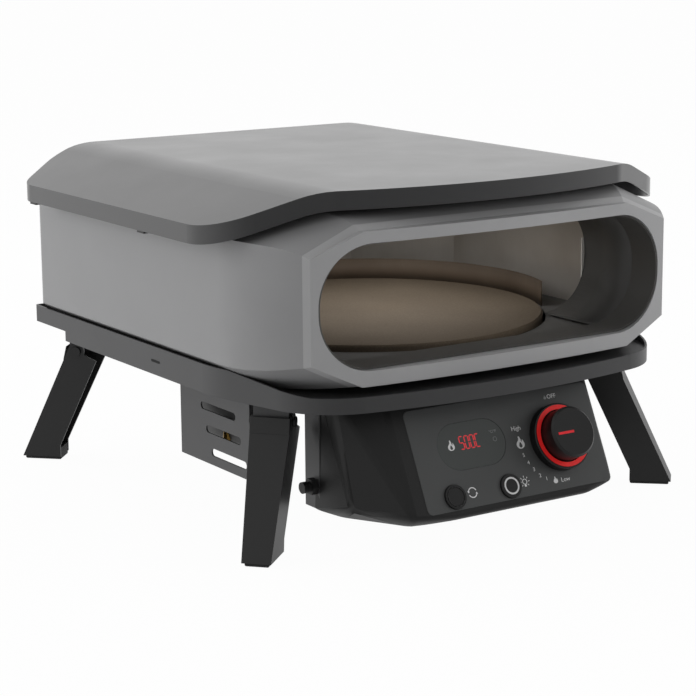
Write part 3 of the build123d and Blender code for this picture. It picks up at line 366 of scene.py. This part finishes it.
ripple_size, ripple_depth = 9 * mm, 0.1 * mm
lamp_glass, tree = new_material("borosilicate glass")
place = add_node(tree, "ShaderNodeTexCoord")
ripple = add_node(tree, "ShaderNodeTexNoise", {"Vector": place.outputs["Object"],
                                               "Scale": 1 / ripple_size})
wave = add_node(tree, "ShaderNodeBump", {"Height": ripple.outputs["Fac"], "Distance": ripple_depth,
                                         "Strength": 0.3})
glass = add_node(tree, "ShaderNodeBsdfPrincipled",
                 {"Base Color": hex_colour("f2f2ee"), "Roughness": 0.08, "Transmission Weight": 1.0,
                  "IOR": 1.47, "Normal": wave.outputs["Normal"]})
add_node(tree, "ShaderNodeOutputMaterial", {"Surface": glass.outputs[0]})
dress(lamp_glass, "lamp_lens")


# Mouth tunnel behind the sleeve
# Two bent sheets carry the mouth's rounded outline back over the floor plate, coated dark like the
# sleeve. A pale strip stands at the right one's rear edge: a painted highlight for the glint there.
def new_piece(name, mesh, material, body, smooth=False):
    """Turn a bmesh in millimetres into a finished object that rides on a body."""
    bmesh.ops.scale(mesh, verts=mesh.verts, vec=(mm, mm, mm))
    bmesh.ops.recalc_face_normals(mesh, faces=mesh.faces)
    data = bpy.data.meshes.new(name)
    mesh.to_mesh(data)
    mesh.free()
    for face in data.polygons:
        face.use_smooth = smooth
    data.materials.append(material)
    piece = bpy.data.objects.new(name, data)
    bpy.context.scene.collection.objects.link(piece)
    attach(piece, body)
    return piece


def verts_in(items):
    """The vertices in what a bmesh operator returns."""
    return [item for item in items if isinstance(item, bmesh.types.BMVert)]


sleeve_low, sleeve_high = [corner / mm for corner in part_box("mouth_sleeve")]
tunnel_wall = 1.2
tunnel_corner, corner_steps = 48.0, 14
tunnel_side_gap, tunnel_edge_gap, tunnel_front_gap = 0.6, 0.4, 0.3
tunnel_front = sleeve_high.y + tunnel_front_gap
tunnel_rear = face_y / mm + 99.0
tunnel_half = sleeve_high.x - tunnel_side_gap
tunnel_low, tunnel_high = sleeve_low.z + tunnel_edge_gap, sleeve_high.z - tunnel_edge_gap


def tunnel_side(side, front, rear):
    """A bent sheet: the lower corner, upright side and upper corner of the mouth's outline."""
    sheet = bmesh.new()
    inward = side * (tunnel_half - tunnel_corner)
    start = sheet.verts.new((inward, front, tunnel_low))
    arc = bmesh.ops.spin(sheet, geom=[start], cent=(inward, front, tunnel_low + tunnel_corner),
                         axis=(0, 1, 0), angle=-side * math.pi / 2, steps=corner_steps,
                         use_duplicate=False)
    lift = bmesh.ops.extrude_vert_indiv(sheet, verts=verts_in(arc["geom_last"])[:1])["verts"]
    bmesh.ops.translate(sheet, verts=lift, vec=(0, 0, tunnel_high - tunnel_low - 2 * tunnel_corner))
    bmesh.ops.spin(sheet, geom=lift, cent=(inward, front, tunnel_high - tunnel_corner),
                   axis=(0, 1, 0), angle=-side * math.pi / 2, steps=corner_steps,
                   use_duplicate=False)
    band = bmesh.ops.extrude_edge_only(sheet, edges=sheet.edges[:])["geom"]
    bmesh.ops.translate(sheet, verts=verts_in(band), vec=(0, rear - front, 0))
    bmesh.ops.recalc_face_normals(sheet, faces=sheet.faces)
    bmesh.ops.solidify(sheet, geom=sheet.faces[:], thickness=tunnel_wall)
    return sheet


for side, word in ((-1, "left"), (1, "right")):
    new_piece("mouth_tunnel_" + word, tunnel_side(side, tunnel_front, tunnel_rear), sleeve_steel,
              "base", smooth=True)

strip_width, strip_wall = 3.0, 1.0
strip_inset, strip_gap = 2.8, 0.6
strip_low, strip_high = 171.0, 228.0
strip = bmesh.new()
bmesh.ops.create_cube(strip, size=1.0)
bmesh.ops.scale(strip, verts=strip.verts, vec=(strip_width, strip_wall, strip_high - strip_low))
bmesh.ops.translate(strip, verts=strip.verts,
                    vec=(tunnel_half - strip_inset, tunnel_rear + strip_gap,
                         (strip_low + strip_high) / 2))
# A near-white strip standing for the glint on the edge: a painted highlight.
painted_highlight_strip = bare_metal("painted highlight strip", "f4f1ea", 0.5, "z", 0.6, metallic=0.2, contrast=0.04)
new_piece("tunnel_edge", strip, painted_highlight_strip, "base")

# Stone guard
# A low band of stainless sheet stands on the floor plate and carries the burner's guard on round
# the right of the stone. The flame has browned it and taken its shine.
guard_low, guard_high = [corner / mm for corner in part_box("burner_guard")]
guard_radius, guard_wall, guard_drop = 171.5, 1.0, 3.0
guard_start, guard_end = math.radians(-22.0), math.radians(83.5)
guard_steps = 60
browned_steel = bare_metal("stainless steel, browned", "77695a", 0.55, "z", 0.8, "5a4c3f",
                           metallic=0.3, contrast=0.06)
band = bmesh.new()
foot = band.verts.new((guard_radius, 0, guard_low.z))
head = band.verts.new((guard_radius, 0, guard_high.z - guard_drop))
edge = band.edges.new((foot, head))
bmesh.ops.rotate(band, verts=band.verts, cent=(0, 0, 0),
                 matrix=Matrix.Rotation(guard_start, 3, "Z"))
bmesh.ops.spin(band, geom=[foot, head, edge], cent=(0, 0, 0), axis=(0, 0, 1),
               angle=guard_end - guard_start, steps=guard_steps, use_duplicate=False)
bmesh.ops.recalc_face_normals(band, faces=band.faces)
bmesh.ops.solidify(band, geom=band.faces[:], thickness=guard_wall)
bmesh.ops.translate(band, verts=band.verts, vec=(0, stone_y / mm, 0))
new_piece("stone_guard", band, browned_steel, "base", smooth=True)


# Vent box lip and baffle
# The vent box ends in a lip bent outwards under the tray, and a folded baffle in black coat behind
# its slots makes them look dark: painted shade for the dark inside of the box. Both are coated
# sheet steel.
def folded_sheet(profile, start, end, wall, along="Y"):
    """Sheet steel bent to a line of corners and drawn out along an axis, with rounded folds."""
    sharp = 0.3      # radians: the least angle that counts as a fold
    sheet = bmesh.new()
    corners = [sheet.verts.new((a, start, b) if along == "Y" else (a, b, start))
               for a, b in profile]
    lines = [sheet.edges.new(pair) for pair in zip(corners, corners[1:])]
    drawn = bmesh.ops.extrude_edge_only(sheet, edges=lines)["geom"]
    reach = (0, end - start, 0) if along == "Y" else (0, 0, end - start)
    bmesh.ops.translate(sheet, verts=verts_in(drawn), vec=reach)
    bmesh.ops.recalc_face_normals(sheet, faces=sheet.faces)
    bmesh.ops.solidify(sheet, geom=sheet.faces[:], thickness=wall)
    folds = [edge for edge in sheet.edges
             if len(edge.link_faces) == 2 and edge.calc_face_angle() > sharp
             and min(face.calc_area() for face in edge.link_faces) > 4 * wall * wall]
    bmesh.ops.bevel(sheet, geom=folds, offset=wall / 3, offset_type="OFFSET", segments=2,
                    profile=0.5, affect="EDGES", material=-1, clamp_overlap=True)
    return sheet


vent_low, vent_high = [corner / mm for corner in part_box("vent_box")]
tray_low, tray_high = [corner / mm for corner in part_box("base_tray")]
thin_wall = 1.2
lip_x, lip_end_x = vent_low.x - 0.3, vent_low.x - 11.0
lip_foot, lip_fold, lip_head = tray_low.z - 11.0, tray_low.z - 8.5, tray_low.z - 0.4
lip = folded_sheet([(lip_x, lip_foot), (lip_x, lip_fold), (lip_end_x, lip_head)],
                   vent_low.y, vent_high.y, thin_wall)
new_piece("vent_lip", lip, dark_coat, "base")

# The baffle's black coat darkens the slots in front of it: painted shade.
baffle_inset = 2.0
baffle_head = (vent_low.x + 9.0, tray_high.z - 18.5)
baffle_fold = (vent_low.x + 26.0, vent_low.z + 16.0)
baffle_foot = (vent_low.x + 34.0, vent_low.z + 6.0)
baffle = folded_sheet([baffle_head, baffle_fold, baffle_foot], vent_low.y + baffle_inset,
                      vent_high.y - baffle_inset, thin_wall)
new_piece("vent_baffle", baffle, black_coat, "base")

# Side bracket
# One sheet bent to a U closes the back of the control housing and carries the gas connection. Its
# right cheek stands further in than the left one.
back_low, back_high = [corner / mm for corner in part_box("side_bracket")]
right_cheek = 116.0
bracket_wall = 1.5
bracket_rear = back_high.y - 1.0
bracket = folded_sheet([(back_low.x, back_low.y), (back_low.x, bracket_rear),
                        (right_cheek, bracket_rear), (right_cheek, back_low.y)],
                       back_low.z, back_high.z, bracket_wall, along="Z")
bracket_sheet = new_piece("side_bracket_sheet", bracket, dark_coat, "base")
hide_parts("side_bracket")

# Hinge covers
# A plate at the top of each leg covers the hinge on its outer side and turns with the leg. It leans
# back from the leg's web to the bracket's face.
cover_half = 17.4
cover_foot, cover_head = (13.2, -8.5), (10.0, 5.0)      # outwards and up from the pin
upward = Vector((0, 0, 1))
for joint in frame["joints"]:
    if joint["name"].startswith("fold_"):
        cover = folded_sheet([cover_foot, cover_head], -cover_half, cover_half, thin_wall)
        pin = Vector(joint["pos_m"]) / mm
        outward = Vector(joint["axis"]).cross(upward)
        if outward.dot(Vector((pin.x, pin.y, 0))) < 0:
            outward = -outward
        turn = Matrix((outward, upward.cross(outward), upward)).transposed().to_4x4()
        bmesh.ops.transform(cover, matrix=Matrix.Translation(pin) @ turn, verts=cover.verts)
        new_piece("hinge_cover_" + joint["name"].removeprefix("fold_"), cover, black_coat,
                  joint["child"])

# Tray slit
# A short slit near the front of the tray's left side, drawn as a dark inlay with round ends.
# It is in shadow, so nothing shines in it.
slit_dark = moulded("shadowed slot", "0d0d0d", 0.8, 0.6, 0.01)
slit_y, slit_z = face_y / mm + 215.0, 139.0
slit_half, slit_width, slit_rise = 8.0, 2.4, 0.15
tiny = 1e-4
slit = bmesh.new()
bmesh.ops.create_circle(slit, cap_ends=True, segments=24, radius=slit_width / 2)
bmesh.ops.rotate(slit, verts=slit.verts, cent=(0, 0, 0),
                 matrix=Matrix.Rotation(math.pi / 2, 3, "Y"))
for vert in slit.verts:
    if abs(vert.co.y) > tiny:
        vert.co.y += math.copysign(slit_half - slit_width / 2, vert.co.y)
drawn = bmesh.ops.extrude_face_region(slit, geom=slit.faces[:])["geom"]
bmesh.ops.translate(slit, verts=verts_in(drawn), vec=(-slit_rise, 0, 0))
bmesh.ops.translate(slit, verts=slit.verts, vec=(tray_low.x, slit_y, slit_z))
new_piece("tray_slot", slit, slit_dark, "base")

# Body shell and front bezel
# Pressed and folded sheet steel, powder coated light grey, satin, with a fine peel. The bezel has
# the same coat, painted a shade paler for the light that falls on its face: painted light.
grey_coat = powder_coat("light grey powder coat", "8f8f90", 0.46, 0.05)
dress(grey_coat, "body_shell")
# The bezel's paler copy of the coat is painted light.
bezel_coat_painted_lighter = powder_coat("light grey powder coat, painted lighter for the bezel", "a8a8a9", 0.46, 0.05)
dress(bezel_coat_painted_lighter, "front_bezel")

# Lid
# One pressed sheet, powder coated dark grey like the tray but glossier, so that its top mirrors the
# pale studio.
lid_coat = powder_coat("dark grey powder coat, lid", "333334", 0.34, 0.03, gloss=0.4)
dress(lid_coat, "lid_cover")

# Control housing
# Injection moulded heat proof nylon, whose spark-eroded texture leaves it nearly without gloss. The
# housing is drawn anew as a rounded hull, and its flanks are cut back further than the CAD's.
house_plastic = moulded("textured black nylon", "171717", 0.55, 0.9, 0.06)
dress(house_plastic, "control_housing", "gas_inlet")
house_low, house_high = [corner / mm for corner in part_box("control_housing")]
slope = 40.0 / 83.0                   # how far the face leans back for each mm of height
foot_z = 37.0
face_foot = face_y / mm - 39.0        # the panel's face at the height of its foot
face_set = 0.5                        # the housing's face lies this far behind the panel's


def face_line(z):
    """Where the housing's sloping face stands at a height."""
    return face_foot + (z - foot_z) * slope + face_set


bottom, top, back = house_low.z - 3.0, house_high.z, house_high.y
bottom_face, low_face = face_line(bottom), bottom + 4.0
face_left, face_right = -113.0, 100.0      # the edges of the sloping face
side_left, flank_left = -152.0, -151.0     # the left side at the back, and where its flank begins
corners = [(-110.0, bottom_face + 13.0, bottom), (-142.0, back - 18.0, bottom),
           (side_left, back, bottom + 3.0), (-73.0, bottom_face + 9.0, bottom),
           (73.0, bottom_face + 9.0, bottom), (95.0, back - 40.0, bottom),
           (146.0, back, bottom), (-70.0, face_line(low_face), low_face),
           (70.0, face_line(low_face), low_face), (face_left, face_line(foot_z), foot_z),
           (face_right, face_line(foot_z), foot_z), (face_left, face_line(top), top),
           (face_right, face_line(top), top), (flank_left, back - 46.0, foot_z + 5.0),
           (flank_left, back - 17.0, top), (side_left, back, top), (124.0, back, top)]
round_radius, round_steps = 5.0, 4
flat_area = 400.0      # square mm: smaller faces belong to the rounded edges
shell = bmesh.new()
for corner in corners:
    shell.verts.new(corner)
hull = bmesh.ops.convex_hull(shell, input=shell.verts[:])
bmesh.ops.delete(shell, geom=verts_in(hull["geom_interior"]), context="VERTS")
bmesh.ops.dissolve_limit(shell, angle_limit=math.radians(1.0), verts=shell.verts[:],
                         edges=shell.edges[:])
edges = [edge for edge in shell.edges if min(vert.co.y for vert in edge.verts) < back - 1]
bmesh.ops.bevel(shell, geom=edges, offset=round_radius, offset_type="OFFSET", segments=round_steps,
                profile=0.5, affect="EDGES", material=-1, clamp_overlap=True)
housing = new_piece("housing_shell", shell, house_plastic, "base", smooth=True)
for face in housing.data.polygons:
    face.use_smooth = face.area < flat_area * mm * mm
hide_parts("control_housing")

# Control panel, boards and switches
# The panel is moulded of the same nylon, paler and smoother. The boards behind it have a glossy
# green solder mask, and the switches are plain black phenolic.
panel_plastic = moulded("satin black nylon", "4a4b4b", 0.5, 0.7, 0.03)
dress(panel_plastic, "control_panel")
board_green = moulded("solder mask", "14532c", 0.35, 1.2, 0.02)
dress(board_green, "circuit_board", "display_board")
switch_plastic = moulded("black phenolic", "1c1c1c", 0.5, 0.6, 0.02)
dress(switch_plastic, "button_switches")

# Display
# A smoked acrylic window, flush with the panel. A faint haze from moulding softens its gloss, so
# that it hardly stands out from the panel.
haze_size = 20 * mm
smoked, tree = new_material("smoked acrylic")
place = add_node(tree, "ShaderNodeTexCoord")
haze = add_node(tree, "ShaderNodeTexNoise", {"Vector": place.outputs["Object"],
                                             "Scale": 1 / haze_size})
gloss = add_node(tree, "ShaderNodeMapRange", {"Value": haze.outputs["Fac"], "To Min": 0.30,
                                              "To Max": 0.38})
acrylic = add_node(tree, "ShaderNodeBsdfPrincipled", {"Base Color": hex_colour("444746"),
                                                      "Roughness": gloss.outputs[0], "IOR": 1.49})
add_node(tree, "ShaderNodeOutputMaterial", {"Surface": acrylic.outputs[0]})
dress(smoked, "display_window")

# Buttons
# Two moulded push buttons of satin black plastic. The right one has a ring of pale, cloudy plastic
# let into its face.
button_plastic = moulded("satin black plastic, button", "151515", 0.42, 0.6, 0.02)
dress(button_plastic, "rotate_button", "light_button")
pale_ring = moulded("pale translucent plastic", "d9d9d9", 0.4, 0.6, 0.01)
dress(pale_ring, "light_ring")

# Knob
# A black moulded cap that stands in a base whose rim carries a red ring, lit from behind. A red
# line on the cap points at the setting.
knob_plastic = moulded("satin black plastic, knob", "0e0e0e", 0.42, 0.6, 0.02)
dress(knob_plastic, "knob_cap", "knob_base")


def lit_plastic(name, colour, glow):
    """A glowing colour: translucent plastic with a lamp behind it, and the painted glow of printed
    ink.
    """
    cloud_size = 6 * mm
    material, tree = new_material(name)
    place = add_node(tree, "ShaderNodeTexCoord")
    cloud = add_node(tree, "ShaderNodeTexNoise", {"Vector": place.outputs["Object"],
                                                  "Scale": 1 / cloud_size})
    base = hex_colour(colour)
    tone = add_node(tree, "ShaderNodeMix", {0: cloud.outputs["Fac"], 6: shaded(base, 0.85),
                                            7: shaded(base, 1.1)}, data_type="RGBA")
    body = add_node(tree, "ShaderNodeBsdfPrincipled",
                    {"Base Color": tone.outputs[2], "Roughness": 0.35, "Emission Color": base,
                     "Emission Strength": glow})
    add_node(tree, "ShaderNodeOutputMaterial", {"Surface": body.outputs[0]})
    return material


red_ring = lit_plastic("red translucent plastic", "d02020", 0.25)
dress(red_ring, "glow_ring")

knob_joint = next(joint for joint in frame["joints"] if joint["name"] == "knob_turn")
face_out = Vector(knob_joint["axis"])
face_across = Vector((1, 0, 0))
face_up = face_out.cross(face_across)
knob_across, knob_up, knob_out = 53.0, 46.0, 15.0      # where the joint lies on the face
face_corner = (Vector(knob_joint["pos_m"]) / mm - knob_across * face_across - knob_up * face_up
               - knob_out * face_out)
ink_depth = 0.08


def face_place(across, up, out):
    """The placement of something drawn flat at a place on the sloping face."""
    turn = Matrix((face_across, face_up, face_out)).transposed().to_4x4()
    spot = face_corner + across * face_across + up * face_up + out * face_out
    return Matrix.Translation(spot) @ turn


def print_on_face(name, flat, across, up, out, ink, body):
    """Turn a flat curve or text, drawn in millimetres, into a thin mesh on the face."""
    flat.dimensions = "2D"
    flat.fill_mode = "BOTH"
    flat.extrude = ink_depth / 2
    drawn = bpy.data.objects.new(name, flat)
    bpy.context.scene.collection.objects.link(drawn)
    bpy.context.view_layer.update()
    graph = bpy.context.evaluated_depsgraph_get()
    data = bpy.data.meshes.new_from_object(drawn.evaluated_get(graph))
    bpy.data.objects.remove(drawn)
    mesh = bmesh.new()
    mesh.from_mesh(data)
    bmesh.ops.remove_doubles(mesh, verts=mesh.verts, dist=0.001)
    bmesh.ops.transform(mesh, matrix=face_place(across, up, out + ink_depth / 2), verts=mesh.verts)
    return new_piece(name, mesh, ink, body)


def outline(name, *loops):
    """A filled curve of closed loops of corners, or of smooth points where True comes first."""
    flat = bpy.data.curves.new(name, "CURVE")
    for loop in loops:
        smooth = loop[0] is True
        points = loop[1:] if smooth else loop
        line = flat.splines.new("BEZIER")
        line.bezier_points.add(len(points) - 1)
        for knot, (x, y) in zip(line.bezier_points, points):
            knot.co = (x, y, 0)
            knot.handle_left_type = knot.handle_right_type = "AUTO" if smooth else "VECTOR"
        line.use_cyclic_u = True
        line.resolution_u = 5
    return flat


# Printed ink has no lamp behind it; its faint glow is painted light.
red_ink_painted_glow = lit_plastic("red printing ink, painted glow", "d8222a", 0.15)
pointer_length, pointer_half = 17.0, 1.1
cap_top = 25.0
pointer = outline("knob_pointer", [(-pointer_length, -pointer_half), (0, -pointer_half),
                                   (0, pointer_half), (-pointer_length, pointer_half)])
print_on_face("knob_pointer", pointer, knob_across, knob_up, cap_top, red_ink_painted_glow, "knob")

# Marks on the panel
# Pad printed in white ink, about 0.02 mm thick on the real one and drawn at 0.08 mm: the settings
# round the knob, a lamp beside the right button and two turning arrows beside the left one.
white_ink = moulded("white printing ink", "e4e4e4", 0.5, 0.6, 0.005)
dim_ink = moulded("grey printing ink", "8a8c8c", 0.5, 0.6, 0.005)


def words(name, text, size, across, up, ink, out=0.0):
    """A line of text on the face, given by its middle."""
    letters = bpy.data.curves.new(name, "FONT")
    letters.body = text
    letters.size = size
    letters.align_x = "CENTER"
    letters.align_y = "CENTER"
    letters.resolution_u = 3
    return print_on_face(name, letters, across, up, out, ink, "base")


word_size, number_size = 5.6, 4.8
for text, size, across, up in (("OFF", word_size, 58.2, 83.0), ("High", word_size, 11.8, 60.5),
                               ("5", number_size, 12.6, 36.4), ("4", number_size, 15.5, 29.3),
                               ("3", number_size, 19.3, 22.7), ("2", number_size, 24.0, 16.5),
                               ("1", number_size, 30.0, 12.8), ("Low", word_size, 49.6, 9.2)):
    words("mark_" + text.lower(), text, size, across, up, white_ink)


def flame(name, height, across, up, ink, out=0.0, hollow=True):
    """A flame with a curled tip and, when it is large, a small drop left open inside."""
    rim_shares = ((0.0, -0.5), (0.25, -0.43), (0.39, -0.2), (0.34, 0.06), (0.24, 0.2), (0.18, 0.04),
                  (0.1, 0.26), (-0.04, 0.5), (-0.1, 0.24), (-0.28, 0.04), (-0.38, -0.18),
                  (-0.25, -0.43))
    heart_shares = ((0.0, -0.42), (0.14, -0.33), (0.12, -0.16), (0.0, 0.02), (-0.11, -0.14),
                    (-0.14, -0.32))
    loops = [[True] + [(x * height, y * height) for x, y in shares]
             for shares in ((rim_shares, heart_shares) if hollow else (rim_shares,))]
    return print_on_face(name, outline(name, *loops), across, up, out, ink, "base")


flame("mark_flame_high", 11.0, 12.3, 48.0, white_ink)
flame("mark_flame_low", 6.0, 38.8, 10.3, white_ink, hollow=False)
flame("mark_flame_off", 3.6, 51.0, 83.0, dim_ink, hollow=False)


def polar(radius, angle):
    """A flat place at a distance and an angle from the middle."""
    return radius * math.cos(angle), radius * math.sin(angle)


def ring_points(radius, count=10):
    """Evenly spaced places on a circle."""
    return [polar(radius, i * math.tau / count) for i in range(count)]


bulb_outer, bulb_inner = 2.5, 1.9
ray_count, socket_turn = 8, 6      # the socket takes the place of the ray that points down
ray_ends, ray_half = (3.5, 5.2), 0.28
socket_ends, socket_half = (2.6, 4.4), 1.0
lamp_loops = [[True] + ring_points(bulb_outer), [True] + ring_points(bulb_inner)]
for turn in range(ray_count):
    along = Vector(polar(1.0, turn * math.tau / ray_count))
    aside = Vector((-along.y, along.x))
    near, far = socket_ends if turn == socket_turn else ray_ends
    half = socket_half if turn == socket_turn else ray_half
    corners = [along * near - aside * half, along * far - aside * half,
               along * far + aside * half, along * near + aside * half]
    lamp_loops.append([tuple(corner) for corner in corners])
print_on_face("mark_lamp", outline("mark_lamp", *lamp_loops), 6.2, 14.0, 0.0, white_ink,
              "base")

arrow_radius, arrow_half, arrow_gap = 4.2, 0.45, 0.75
arrow_steps, arrow_lead, arrow_wing = 8, 0.38, 1.26
arrow_loops = []
for half_turn in range(2):
    start, end = half_turn * math.pi + arrow_gap / 2, (half_turn + 1) * math.pi - arrow_gap / 2
    steps = [start + i * (end - start) / arrow_steps for i in range(arrow_steps + 1)]
    outer = [polar(arrow_radius + arrow_half, angle) for angle in steps]
    inner = [polar(arrow_radius - arrow_half, angle) for angle in reversed(steps)]
    arrow_loops.append(outer + inner)
    arrow_loops.append([polar(arrow_radius + arrow_wing, end),
                        polar(arrow_radius, end + arrow_lead),
                        polar(arrow_radius - arrow_wing, end)])
print_on_face("mark_turn", outline("mark_turn", *arrow_loops), -49.6, 13.5, 0.0, white_ink,
              "base")

# Readout in the display
# Red seven-segment digits and a white flame shine through the smoked window, so they are drawn on
# its outer face, with the unit in dim grey.
glass_out = -0.3       # the window's outer face, measured from the panel's
digit_width, digit_height, digit_gap, segment = 3.9, 11.0, 1.6, 0.95
lit_red = lit_plastic("red light emitting diode", "d8343a", 0.35)
segment_sets = {"5": "acdfg", "0": "abcdef", "C": "adef"}
segment_shares = {"a": (0, 0.5), "g": (0, 0), "d": (0, -0.5), "b": (0.5, 0.25), "c": (0.5, -0.25),
                  "f": (-0.5, 0.25), "e": (-0.5, -0.25)}      # across and up
readout = "500C"
digit_loops = []
for number, character in enumerate(readout):
    middle = (number - (len(readout) - 1) / 2) * (digit_width + digit_gap)
    for letter in segment_sets[character]:
        share_x, share_y = segment_shares[letter]
        upright = share_x != 0
        long = (digit_height / 2 if upright else digit_width) / 2 - segment / 4
        short = long - segment / 2
        corners = [(-long, 0), (-short, segment / 2), (short, segment / 2), (long, 0),
                   (short, -segment / 2), (-short, -segment / 2)]
        if upright:
            corners = [(y, -x) for x, y in corners]
        digit_loops.append([(middle + share_x * digit_width + x, share_y * digit_height + y)
                            for x, y in corners])
print_on_face("display_digits", outline("display_digits", *digit_loops), -39.0, 56.6, glass_out,
              lit_red, "base")
flame("display_flame", 9.0, -58.7, 56.0, white_ink, out=glass_out)
words("display_unit", "°C/°F", 3.4, -13.0, 61.7, dim_ink, out=glass_out)
small_ring = outline("display_ring", [True] + ring_points(2.0), [True] + ring_points(1.7))
print_on_face("display_ring", small_ring, -12.4, 55.0, glass_out, dim_ink, "base")

# Left button's rim
# The left button has a raised rim round a shallow dish. It is turned as a ring on the button's
# face, and the profile that the turn began from is taken out.
button_across, button_up, button_rise = -68.0, 12.6, 2.0
rim_radius, rim_width, rim_rise = 7.6, 1.3, 0.5
rim = bmesh.new()
corners = [rim.verts.new((rim_radius + dx, 0, dz)) for dx, dz in
           ((0, 0), (rim_width, 0), (rim_width * 0.7, rim_rise), (rim_width * 0.3, rim_rise))]
profile = rim.faces.new(corners)
bmesh.ops.spin(rim, geom=[profile], cent=(0, 0, 0), axis=(0, 0, 1), angle=math.tau, steps=48,
               use_merge=True, use_duplicate=False)
inside = [face for face in rim.faces if len(face.verts) == 4
          and all(abs(vert.co.y) < tiny and vert.co.x > 0 for vert in face.verts)]
bmesh.ops.delete(rim, geom=inside, context="FACES_ONLY")
bmesh.ops.transform(rim, matrix=face_place(button_across, button_up, button_rise), verts=rim.verts)
new_piece("rotate_button_rim", rim, button_plastic, "rotate_key", smooth=True)
